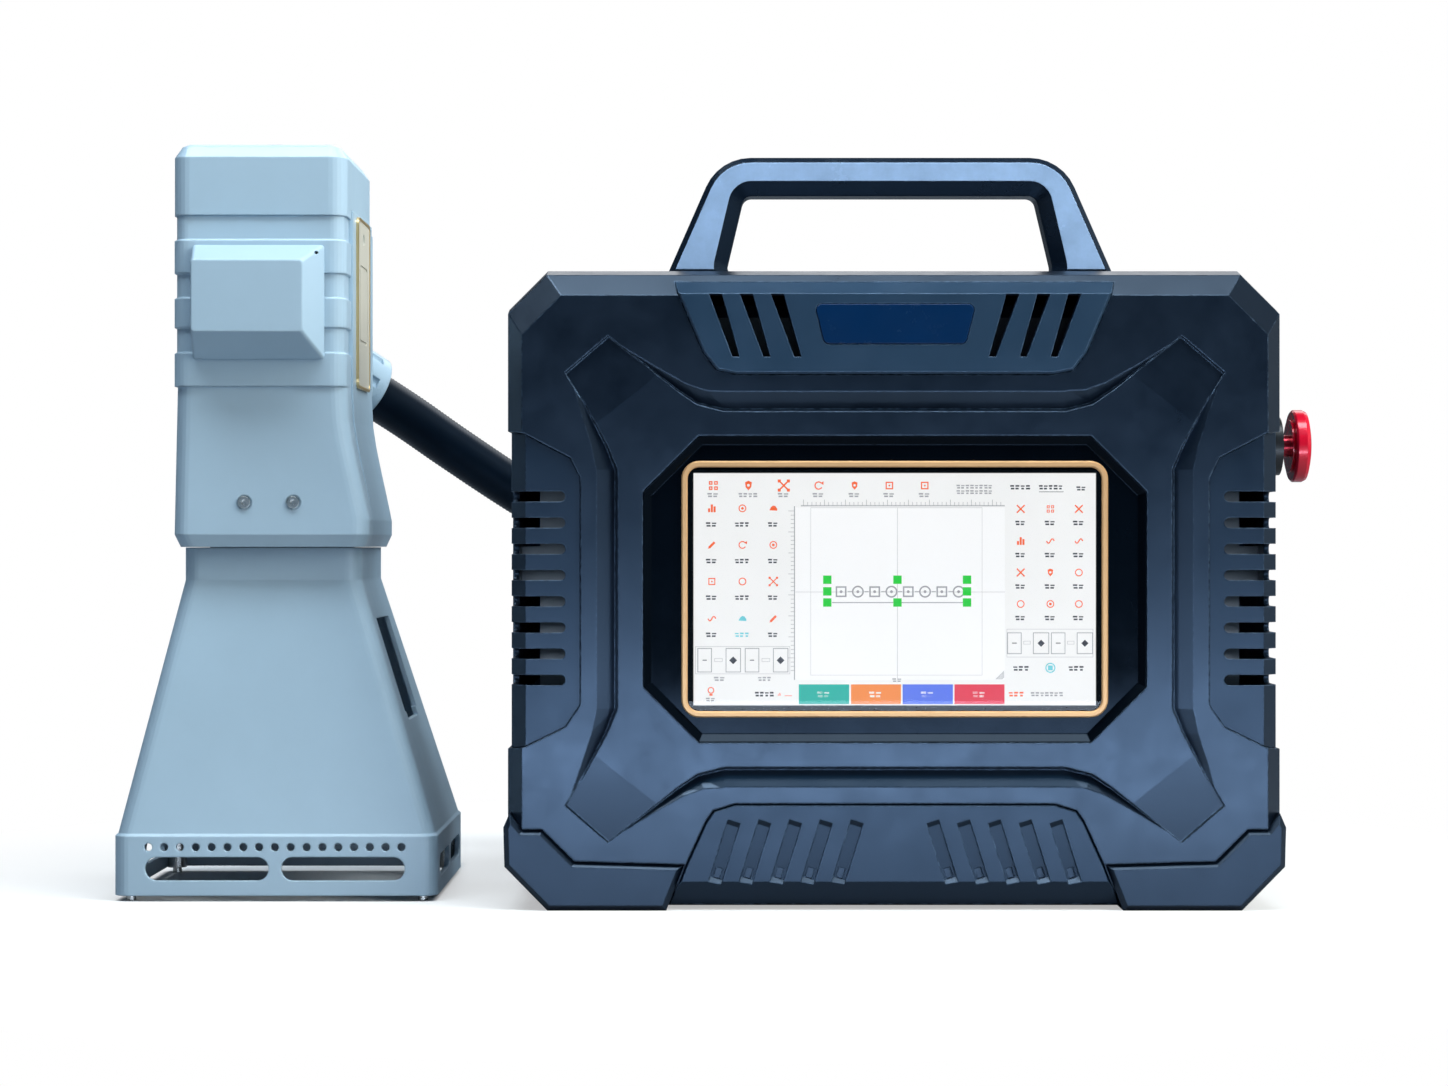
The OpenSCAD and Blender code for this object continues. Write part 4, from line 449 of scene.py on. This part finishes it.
# The handle's faces that look straight ahead get a pale painted sheen
dress(surface("handle_plastic", (0.003, 0.008, 0.018), 0.24, grain=(700, 0.05, 0.0001), edge=0.0012,
              specular=0.8, tint=HANDLE_TINT, cloud=0.1, painted_sheen=(0.31, 0.46, 0.71)), "carry_handle")
dress(surface("bezel_black", (0.0008, 0.0020, 0.0042), 0.14, edge=0.0008, specular=0.12, tint=NAVY_TINT,
              cloud=0.1), "screen_bezel")
dress(surface("blank_badge", (0.0008, 0.021, 0.080), 0.26, grain=(2600, 0.05, 0.00005), edge=0.0004,
              specular=0.25, cloud=0.1), "badge_plate")
dress(surface("gold_trim", (0.72, 0.41, 0.185), 0.42, metallic=0.35, edge=0.0005, brushed=(1, 60, 60),
              cloud=0.04), "display_frame")
dress(clear("screen_glass", (1, 1, 1), 1.3, 1.0, 0.25), "touch_glass")

# Marking head
HEAD_WEAR = ((0.62, 0.74, 0.84), 0.35)
dress(surface("head_paint", (0.40, 0.545, 0.665), 0.36, grain=(2100, 0.1, 0.0001), edge=0.0012,
              edge_wear_and_highlight=HEAD_WEAR, specular=0.55, cloud=0.025),
      "head_front_shell", "head_rear_shell", "head_top_cap", "galvo_cover")
dress(surface("hood_paint", (0.395, 0.54, 0.66), 0.38, grain=(2100, 0.12, 0.0001), edge=0.0012,
              edge_wear_and_highlight=HEAD_WEAR, specular=0.5, cloud=0.03), "hood")
dress(surface("grip_plastic", (0.36, 0.50, 0.62), 0.42, grain=(1300, 0.25, 0.0001), edge=0.0015,
              specular=0.5, cloud=0.03), "rear_grip")
dress(surface("cream_plate", (0.60, 0.565, 0.48), 0.4, grain=(1500, 0.08, 0.0001), edge=0.0004, cloud=0.05),
      "side_plate")
dress(surface("edge_gold", (0.86, 0.62, 0.30), 0.32, metallic=0.85, edge=0.0004, cloud=0.06), "side_trim")
dress(surface("optic_metal", (0.55, 0.56, 0.57), 0.3, metallic=1.0, edge=0.0004, brushed=(60, 60, 1)),
      "galvo_block", "collimator")
dress(surface("lens_black", (0.012, 0.012, 0.013), 0.3, metallic=0.4, edge=0.0004, cloud=0.1),
      "galvo_motors", "lens_barrel")
dress(surface("mirror_coat", (0.86, 0.72, 0.40), 0.05, metallic=1.0, edge=0.0002, rough_span=0.02),
      "mirror_x", "mirror_y")
dress(clear("lens_clear", (0.75, 0.92, 0.9), 1.5, 0.9), "lens_glass")

# Both, and what sits in and behind the case
dress(surface("gland_blue", (0.42, 0.57, 0.69), 0.3, grain=(900, 0.06, 0.0001), edge=0.0012, specular=0.6,
              cloud=0.03), "case_gland", "head_gland")
dress(surface("screw_steel", (0.60, 0.58, 0.54), 0.24, metallic=1.0, edge=0.0004, cloud=0.08,
              grain=(900, 0.1, 0.0001)), "case_screws", "hood_feet", "head_screws")
dress(surface("circuit_board", (0.012, 0.11, 0.035), 0.34, edge=0.0002, cloud=0.15, coat=0.4),
      "controller_board", "driver_board")
dress(surface("black_plastic", (0.012, 0.013, 0.015), 0.38, grain=(1500, 0.15, 0.0001), edge=0.0005,
              edge_wear_and_highlight=((0.08, 0.08, 0.09), 0.4), cloud=0.12),
      "mains_inlet", "rocker_frame", "stop_body", "trigger")
dress(surface("sheet_steel", (0.16, 0.165, 0.17), 0.38, metallic=1.0, edge=0.0003, brushed=(60, 1, 60)),
      "chassis_plate")
dress(surface("supply_case", (0.62, 0.63, 0.64), 0.36, metallic=1.0, edge=0.0004, brushed=(1, 60, 60)),
      "power_supply")
dress(surface("laser_case", (0.045, 0.05, 0.058), 0.34, metallic=0.7, edge=0.0005, cloud=0.1), "laser_source")
dress(surface("wire_steel", (0.66, 0.67, 0.68), 0.16, metallic=1.0, edge=None, cloud=0.06), "fan_guards")
dress(surface("fan_plastic", (0.014, 0.014, 0.016), 0.33, edge=0.0004, cloud=0.1),
      "fan_housings", "fan_rotor_left", "fan_rotor_right")
dress(surface("lock_metal", (0.62, 0.62, 0.61), 0.2, metallic=1.0, edge=0.0003, cloud=0.06), "key_switch", "key")
dress(surface("rocker_red", (0.42, 0.012, 0.010), 0.24, edge=0.0006, cloud=0.06, coat=0.3), "power_rocker")
dress(surface("stop_red", (0.74, 0.003, 0.030), 0.24, metallic=0.15, edge=0.0006, cloud=0.05, coat=0.3,
              coat_rough=0.08), "stop_cap")
dress(surface("stem_red", (0.42, 0.012, 0.03), 0.26, metallic=0.55, edge=0.0004, cloud=0.05), "stop_stem")

hose.data.materials.append(surface("hose_black", (0.0020, 0.0060, 0.0130), 0.34, edge=None, specular=0.3,
                                   tint=NAVY_TINT, cloud=0.15, grain=(1600, 0.15, 0.0001)))
tie_mat = surface("tie_fabric", (0.012, 0.012, 0.014), 0.8, edge=None, grain=(2400, 0.8, 0.0004), sheen=0.3)
for tie in ties:
    tie.data.materials.append(tie_mat)

# Display

SCREEN_ROUGH, SCREEN_GLOW, SCREEN_BASE = 0.35, 0.86, 0.1
BACKLIGHT_DARK, BACKLIGHT_LIGHT = 0.97, 1.02
SCREEN = {
    "ground": (0.93, 0.93, 0.92), "canvas": (1.0, 1.0, 1.0), "grey": (0.34, 0.34, 0.36),
    "dark": (0.03, 0.03, 0.04), "pale": (0.62, 0.62, 0.63), "orange": (0.95, 0.13, 0.02),
    "green": (0.0, 0.62, 0.02), "teal": (0.0, 0.44, 0.36), "amber": (0.93, 0.26, 0.03),
    "blue": (0.09, 0.17, 0.83), "red": (0.80, 0.015, 0.05), "cyan": (0.15, 0.62, 0.70), "white": (1.0, 1.0, 1.0)}
screen_slots = list(SCREEN)
# The layout counts in steps of its own from this pixel of the photograph, STEPS_PER_PX to a pixel
LAYOUT_LEFT, LAYOUT_TOP, STEPS_PER_PX = 660, 440, 3.336
LAYER_T, FIRST_LAYER = 0.00003, 0.00002
RING_SIDES = 24
# In steps of the layout: line widths, the half size of menu icons, and heights of captions
KEY_LINE, FIELD_LINE, MENU_LINE = 2.5, 2, 3.5
MENU_ICON = 13
MENU_TEXT, NOTE_TEXT, LABEL_TEXT, LAMP_TEXT, BUTTON_TEXT = 15, 14, 16, 12, 20
low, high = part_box("display_panel")
screen_y = low.y
depth = screen_y - EYE_Y


def lit(name, colour):
    """A colour of the lit display: mostly its own light, with a soft uneven backlight."""
    m, tree, shader = new_material(name)
    shader.inputs["Roughness"].default_value = SCREEN_ROUGH
    shader.inputs["Emission Strength"].default_value = SCREEN_GLOW
    slow = ramp(tree, noise(tree, coordinates(tree), *BACKLIGHT), *MIDDLE)
    light = mix_colour(tree, slow, *shades(colour, BACKLIGHT_DARK, BACKLIGHT_LIGHT))
    tree.links.new(light, shader.inputs["Emission Color"])
    shader.inputs["Base Color"].default_value = (*[v * SCREEN_BASE for v in colour], 1)
    return m


def on_screen(u, v, layer):
    """A point of the display at the steps u, v of its layout. Layers lie just in front of each other."""
    px, py = LAYOUT_LEFT + u / STEPS_PER_PX, LAYOUT_TOP + v / STEPS_PER_PX
    return Vector((EYE_X + (px - PHOTO_W / 2) * depth / FOCAL_PX, screen_y - LAYER_T * layer - FIRST_LAYER,
                   EYE_Z - (py - PHOTO_H / 2) * depth / FOCAL_PX))


sbm = bmesh.new()


def patch(points, colour, layer=2):
    f = sbm.faces.new([sbm.verts.new(on_screen(u, v, layer)) for u, v in points])
    f.normal_update()
    if f.normal.y > 0:
        f.normal_flip()
    f.material_index = screen_slots.index(colour)


def bar(u0, v0, u1, v1, colour, layer=2):
    patch([(u0, v0), (u1, v0), (u1, v1), (u0, v1)], colour, layer)


def block(u, v, half, colour, layer=2):
    bar(u - half, v - half, u + half, v + half, colour, layer)


def frame_of(u0, v0, u1, v1, w, colour, layer=2):
    bar(u0, v0, u1, v0 + w, colour, layer)
    bar(u0, v1 - w, u1, v1, colour, layer)
    bar(u0, v0 + w, u0 + w, v1 - w, colour, layer)
    bar(u1 - w, v0 + w, u1, v1 - w, colour, layer)


def ring(u, v, r, w, colour, a0=0, a1=360, layer=2):
    steps = max(3, round(RING_SIDES * (a1 - a0) / 360))
    for k in range(steps):
        s, t = (math.radians(a0 + (a1 - a0) * (k + d) / steps) for d in (0, 1))
        patch([(u + r * math.cos(s), v + r * math.sin(s)), (u + r * math.cos(t), v + r * math.sin(t)),
               (u + (r - w) * math.cos(t), v + (r - w) * math.sin(t)),
               (u + (r - w) * math.cos(s), v + (r - w) * math.sin(s))], colour, layer)


def disc(u, v, r, colour, layer=2, n=16):
    turns = [2 * math.pi * k / n for k in range(n)]
    patch([(u + r * math.cos(t), v + r * math.sin(t)) for t in turns], colour, layer)


def diamond(u, v, r, colour):
    patch([(u - r, v), (u, v - r), (u + r, v), (u, v + r)], colour)


def stroke(u0, v0, u1, v1, w, colour, layer=2):
    d = Vector((u1 - u0, v1 - v0)).normalized() * w / 2
    n = Vector((-d.y, d.x))
    patch([(u0 + n.x, v0 + n.y), (u1 + n.x, v1 + n.y), (u1 - n.x, v1 - n.y), (u0 - n.x, v0 - n.y)], colour,
          layer)


def icon(kind, u, v, s, colour, w):
    """A plain sign of half size s and line width w. Its other sizes are shares of these."""
    if kind == "ring":
        ring(u, v, s, w, colour)
    elif kind == "target":
        ring(u, v, s, w, colour)
        disc(u, v, s * 0.35, colour)
    elif kind == "square":
        frame_of(u - s * 0.9, v - s * 0.9, u + s * 0.9, v + s * 0.9, w, colour)
        disc(u, v, s * 0.22, colour, n=8)
    elif kind == "cross":
        stroke(u - s, v - s, u + s, v + s, w * 1.3, colour)
        stroke(u - s, v + s, u + s, v - s, w * 1.3, colour)
    elif kind == "spread":
        stroke(u - s * 0.8, v - s * 0.8, u + s * 0.8, v + s * 0.8, w, colour)
        stroke(u - s * 0.8, v + s * 0.8, u + s * 0.8, v - s * 0.8, w, colour)
        for a in (-1, 1):
            for b in (-1, 1):
                block(u + a * s * 0.95, v + b * s * 0.95, w, colour)
    elif kind == "turn":
        ring(u, v, s, w, colour, 30, 320)
        patch([(u + s * 0.45, v - s * 0.6), (u + s * 1.15, v - s * 0.15), (u + s * 1.2, v - s)], colour)
    elif kind == "pen":
        stroke(u - s * 0.7, v + s * 0.7, u + s * 0.7, v - s * 0.7, w * 2.2, colour)
        patch([(u - s, v + s), (u - s * 0.75, v + s * 0.35), (u - s * 0.35, v + s * 0.75)], colour)
    elif kind == "bars":
        for k, h in enumerate((0.5, 1.0, 0.75)):
            bar(u + (k - 1) * s * 0.7 - w, v + s - 2 * s * h, u + (k - 1) * s * 0.7 + w, v + s, colour)
    elif kind == "grid":
        for a in (-0.55, 0.55):
            for b in (-0.55, 0.55):
                frame_of(u + a * s - s * 0.38, v + b * s - s * 0.38, u + a * s + s * 0.38, v + b * s + s * 0.38,
                         w * 0.8, colour)
    elif kind == "lamp":
        ring(u, v - s * 0.2, s * 0.75, w, colour)
        bar(u - s * 0.35, v + s * 0.6, u + s * 0.35, v + s, colour)
    elif kind == "wave":
        for k in range(8):
            a, b = ((k + d) / 8 for d in (0, 1))
            stroke(u - s + 2 * s * a, v + s * 0.6 * math.sin(6.28 * a), u - s + 2 * s * b,
                   v + s * 0.6 * math.sin(6.28 * b), w * 1.2, colour)
    elif kind == "solid":
        patch([(u - s, v + s * 0.5), (u - s * 0.6, v - s * 0.3), (u - s * 0.1, v - s * 0.7),
               (u + s * 0.5, v - s * 0.6), (u + s, v + s * 0.1), (u + s, v + s * 0.6)], colour)
    elif kind == "shield":
        patch([(u - s * 0.7, v - s * 0.7), (u, v - s), (u + s * 0.7, v - s * 0.7), (u + s * 0.6, v + s * 0.3),
               (u, v + s), (u - s * 0.6, v + s * 0.3)], colour)
        disc(u, v - s * 0.05, s * 0.3, "ground", 3)


def caption(u, v, width, h, colour="grey"):
    """A row of small dashes of height h in place of a label. Their sizes are shares of h and of their pitch."""
    count = max(2, round(width / (h * 1.15)))
    step = width / count
    for k in range(count):
        x = u - width / 2 + k * step
        bar(x, v - h * (0.5 if (k + count) % 3 else 0.42), x + step * 0.74, v - h * 0.14, colour)
        bar(x + step * (0.0 if k % 2 else 0.12), v + h * 0.1, x + step * (0.62 if k % 3 else 0.78), v + h * 0.46,
            colour)


def keys(u, spans, v0, v1, minus, field, plus):
    """Two framed keys, the left with a dash and the right with a diamond, and an empty field between them."""
    for a, b in spans:
        frame_of(u + a, v0, u + b, v1, KEY_LINE, "grey")
    bar(u + minus[0], minus[1], u + minus[2], minus[3], "dark")
    frame_of(u + field[0], field[1], u + field[2], field[3], FIELD_LINE, "pale")
    diamond(u + plus[0], plus[1], plus[2], "dark")


# Ground and top row
bar(118, 118, 1447, 881, "ground", 0)
top_kinds = ["grid", "shield", "spread", "turn", "shield", "square", "square"]
for k, (u, kind) in enumerate(zip((178, 295, 413, 529, 649, 765, 883), top_kinds)):
    icon(kind, u, 152, 16 if k < 3 else 14, "orange", 4 if k > 2 else 5)
    caption(u, 184, 66 if k == 1 else 40, NOTE_TEXT)
for v in (156, 174):
    caption(1050, v, 122, 13)
caption(1203, 158, 70, MENU_TEXT, "dark")
caption(1305, 158, 82, MENU_TEXT, "dark")
bar(1264, 172, 1346, 174, "dark")
caption(1406, 162, 34, NOTE_TEXT, "dark")

# Left menu
left_kinds = ["bars", "target", "solid", "pen", "turn", "target", "square", "ring", "spread", "wave", "solid", "pen"]
for i, kind in enumerate(left_kinds):
    u, v = (173, 275, 378)[i % 3], (228, 350, 472, 596)[i // 3]
    icon(kind, u, v, MENU_ICON, "cyan" if i == 10 else "orange", MENU_LINE)
    caption(u, v + 54, (40, 50, 36)[i % 3], MENU_TEXT, "cyan" if i == 10 else "dark")
for u in (125, 283):
    keys(u, ((0, 48), (94, 145)), 694, 775, (17, 733, 31, 736), (56, 728, 84, 740), (119, 735, 13))
frame_of(118, 688, 434, 781, FIELD_LINE, "pale", 1)
caption(200, 797, 40, NOTE_TEXT)
caption(350, 797, 46, NOTE_TEXT)
icon("lamp", 170, 838, 15, "orange", MENU_LINE)
caption(170, 866, 34, LAMP_TEXT)
caption(350, 848, 66, LABEL_TEXT, "dark")
icon("bars", 398, 848, 5, "orange", 1)
bar(416, 852, 440, 854, "orange")

# Canvas with its rulers, its frame and the middle lines
TICK, TICK_W, LONG_TICK, GRIP_HALF = 14, 1.5, 5, 14
bar(452, 225, 1150, 800, "canvas", 1)
for k in range(48):
    u = 478 + k * TICK
    bar(u, 207 if k % LONG_TICK else 199, u + TICK_W, 219, "grey")
bar(470, 218, 1150, 221, "grey")
for k in range(39):
    v = 236 + k * TICK
    bar(436 if k % LONG_TICK else 428, v, 448, v + TICK_W, "grey")
bar(447, 221, 450, 800, "grey")
frame_of(502, 225, 1075, 785, 1.6, "pale")
bar(791, 225, 793, 800, "pale")
bar(452, 506, 1150, 508, "pale")
for k in range(6):
    stroke(1120 + k * 4, 798, 1148, 770 + k * 4, TICK_W, "grey")
caption(792, 801, 34, LAMP_TEXT)
for u in (558, 792, 1024):
    for v in (466, 505, 542):
        if u != 792 or v != 505:
            block(u, v, GRIP_HALF, "green", 4)
bar(574, 541, 1010, 544, "grey", 3)
# A generic plate drawing in place of the text to be marked
PLATE_V, PLATE_PITCH, PLATE_LINE = 506, 56, 5
for u in range(604, 1000, PLATE_PITCH):
    if (u // PLATE_PITCH) % 2:
        ring(u, PLATE_V, 20, PLATE_LINE, "grey", layer=3)
    else:
        frame_of(u - 18, PLATE_V - 18, u + 18, PLATE_V + 18, PLATE_LINE, "grey", 3)
    disc(u, PLATE_V, 5, "grey", 3, 10)
    stroke(u + 22, PLATE_V, u + 36, PLATE_V, 3, "grey", 3)

# Buttons and right menu
for u0, u1, colour in ((463, 631, "teal"), (637, 804, "amber"), (809, 977, "blue"), (982, 1149, "red")):
    bar(u0, 815, u1, 881, colour)
    caption((u0 + u1) / 2, 849, 46, BUTTON_TEXT, "white")
right_kinds = ["cross", "grid", "cross", "bars", "wave", "wave", "cross", "shield", "ring", "ring", "target", "ring"]
for i, kind in enumerate(right_kinds):
    u, v = (1203, 1302, 1397)[i % 3], (230, 337, 442, 547)[i // 3]
    icon(kind, u, v, MENU_ICON, "orange", MENU_LINE)
    caption(u, v + 47, (36, 38, 40)[i % 3], MENU_TEXT, "dark")
frame_of(1156, 630, 1445, 725, FIELD_LINE, "pale", 1)
for u in (1156, 1302):
    keys(u, ((2, 50), (88, 142)), 642, 714, (18, 676, 34, 679), (56, 670, 80, 682), (115, 678, 12))
caption(1206, 762, 56, LABEL_TEXT, "dark")
icon("ring", 1302, 760, 17, "cyan", 4)
block(1302, 760, 8, "cyan")
caption(1390, 762, 54, LABEL_TEXT, "dark")
caption(1190, 848, 54, LABEL_TEXT, "orange")
caption(1292, 848, 110, NOTE_TEXT)

picture = link("display_picture", sbm)
for key, colour in SCREEN.items():
    picture.data.materials.append(lit("screen_" + key, colour))
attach(picture, "case")
dress(lit("display", SCREEN["ground"]), "display_panel")

# Floor: to the camera it glows white, but for its own shades near the part, and with no glow at all under the hood
# and in the strip behind it that shows below its rear wall. To all other rays it is grey.
FLOOR_HALF = 6
PAPER_DARK, PAPER_LIGHT, BOUNCE = (0.93, 0.93, 0.93), (0.95, 0.95, 0.95), (0.26, 0.28, 0.31)
FLOOR_ROUGH = 0.8
# The glow is NEAR_GLOW up to the first of these distances from the origin, and full from the second on
NEAR_SPAN, NEAR_GLOW = (0.36, 0.60), 0.45
HOOD_STRIP = 0.045
# The glow sets in over this span of the hood's half width or depth
HOOD_SPAN = (0.96, 1.0)

floor_mat, tree, shader = new_material("floor")
coords = coordinates(tree)
is_camera = tree.nodes.new("ShaderNodeLightPath").outputs["Is Camera Ray"]
paper = mix_colour(tree, ramp(tree, noise(tree, coords, *PAPER), *MIDDLE), PAPER_DARK, PAPER_LIGHT)
tree.links.new(mix_colour(tree, is_camera, BOUNCE, paper), shader.inputs["Base Color"])
shader.inputs["Roughness"].default_value = FLOOR_ROUGH
shader.inputs["Specular IOR Level"].default_value = 0.0
white = tree.nodes.new("ShaderNodeEmission")
hood_corners = [nodes["hood"].matrix_world @ Vector(c) for c in nodes["hood"].bound_box]
hood_low, hood_high = ([pick(c[i] for c in hood_corners) for i in range(3)] for pick in (min, max))
hood_high[1] += HOOD_STRIP
from_hood = vector_node(tree, "SUBTRACT", coords, [(a + b) / 2 for a, b in zip(hood_low, hood_high)])
from_hood = vector_node(tree, "DIVIDE", from_hood, [(b - a) / 2 for a, b in zip(hood_low, hood_high)])
from_hood = axes(tree, vector_node(tree, "ABSOLUTE", from_hood))
beside = ramp(tree, calculate(tree, "MAXIMUM", from_hood["X"], from_hood["Y"]), *HOOD_SPAN)
away = ramp(tree, vector_node(tree, "LENGTH", coords, output="Value"), *NEAR_SPAN, NEAR_GLOW, 1)
fade = tree.nodes.new("ShaderNodeMixShader")
tree.links.new(calculate(tree, "MULTIPLY", calculate(tree, "MULTIPLY", away, beside), is_camera), fade.inputs[0])
tree.links.new(shader.outputs["BSDF"], fade.inputs[1])
tree.links.new(white.outputs["Emission"], fade.inputs[2])
tree.links.new(fade.outputs["Shader"], tree.nodes["Material Output"].inputs["Surface"])

bm = bmesh.new()
bm.faces.new([bm.verts.new((x * FLOOR_HALF, y * FLOOR_HALF, 0)) for x, y in ((-1, -1), (1, -1), (1, 1), (-1, 1))])
obj = link("floor", bm)
obj.data.materials.append(floor_mat)
obj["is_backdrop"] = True

# World: white to the camera, a dim studio with a bright right side to matt surfaces, and a share of that over a
# base colour to glossy ones
WORLD_BASE, MIRRORED_BASE, MIRRORED_SHARE = (0.02, 0.03, 0.045), (0.015, 0.025, 0.04), 0.13
# Each side: its axis, where its colour sets in and is full, and the colour
WORLD_SIDES = (("Y", 0.3, 0.9, (0.40, 0.45, 0.50)), ("X", -0.3, -0.9, (0.16, 0.20, 0.25)),
               ("X", 0.3, 0.9, (2.10, 2.40, 2.55)))

world = bpy.data.worlds.new("studio")
bpy.context.scene.world = world
world.use_nodes = True
tree = world.node_tree
direction = axes(tree, coordinates(tree, "Generated"))
studio = WORLD_BASE
for axis, start, full, glow in WORLD_SIDES:
    studio = mix_colour(tree, ramp(tree, direction[axis], start, full), studio, glow)
path = tree.nodes.new("ShaderNodeLightPath").outputs
mirrored = mix_colour(tree, MIRRORED_SHARE, MIRRORED_BASE, studio)
studio = mix_colour(tree, path["Is Glossy Ray"], studio, mirrored)
studio = mix_colour(tree, path["Is Camera Ray"], studio, (1.0, 1.0, 1.0))
background = tree.nodes["Background"]
tree.links.new(studio, background.inputs["Color"])
background.inputs["Strength"].default_value = 1.0


def area(name, place, target, size, power, colour=(1, 1, 1), diffuse=True, gloss=True):
    """A soft light from place to target that the camera doesn't see. diffuse and gloss say what it lights."""
    data = bpy.data.lights.new(name, "AREA")
    data.shape = "RECTANGLE"
    data.size, data.size_y = size
    data.energy = power
    data.color = colour
    obj = bpy.data.objects.new(name, data)
    obj.location = place
    obj.rotation_euler = (Vector(target) - Vector(place)).to_track_quat("-Z", "Y").to_euler()
    obj.visible_camera = False
    obj.visible_diffuse = diffuse
    obj.visible_glossy = gloss
    bpy.context.scene.collection.objects.link(obj)


area("key_top", (-0.1, -0.5, 1.6), (-0.05, 0, 0.2), (1.8, 0.45), 29, (0.86, 0.95, 1.0))
area("key_right", (1.3, -0.85, 0.95), (-0.1, 0, 0.25), (0.7, 1.0), 16, (1.0, 0.93, 0.78), gloss=False)
area("rim_back", (0.3, 1.8, 1.6), (0, 0, 0.3), (2.4, 1.0), 14)
# These three draw the sheen on the case's front
area("gloss_floor", (0.1, -0.95, 0.02), (0.1, -0.1, 0.12), (1.5, 0.5), 0.7, (0.40, 0.70, 1.0), diffuse=False)
area("gloss_near", (0.14, -0.62, 0.03), (0.14, -0.12, 0.07), (1.0, 0.12), 3.4, (0.66, 0.80, 1.0), diffuse=False)
area("gloss_high", (0.1, -0.7, 0.95), (0.1, 0, 0.3), (1.2, 0.4), 1.0, (0.30, 0.68, 1.0), diffuse=False)

scene = bpy.context.scene
scene.view_settings.view_transform = "Standard"

low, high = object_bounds()
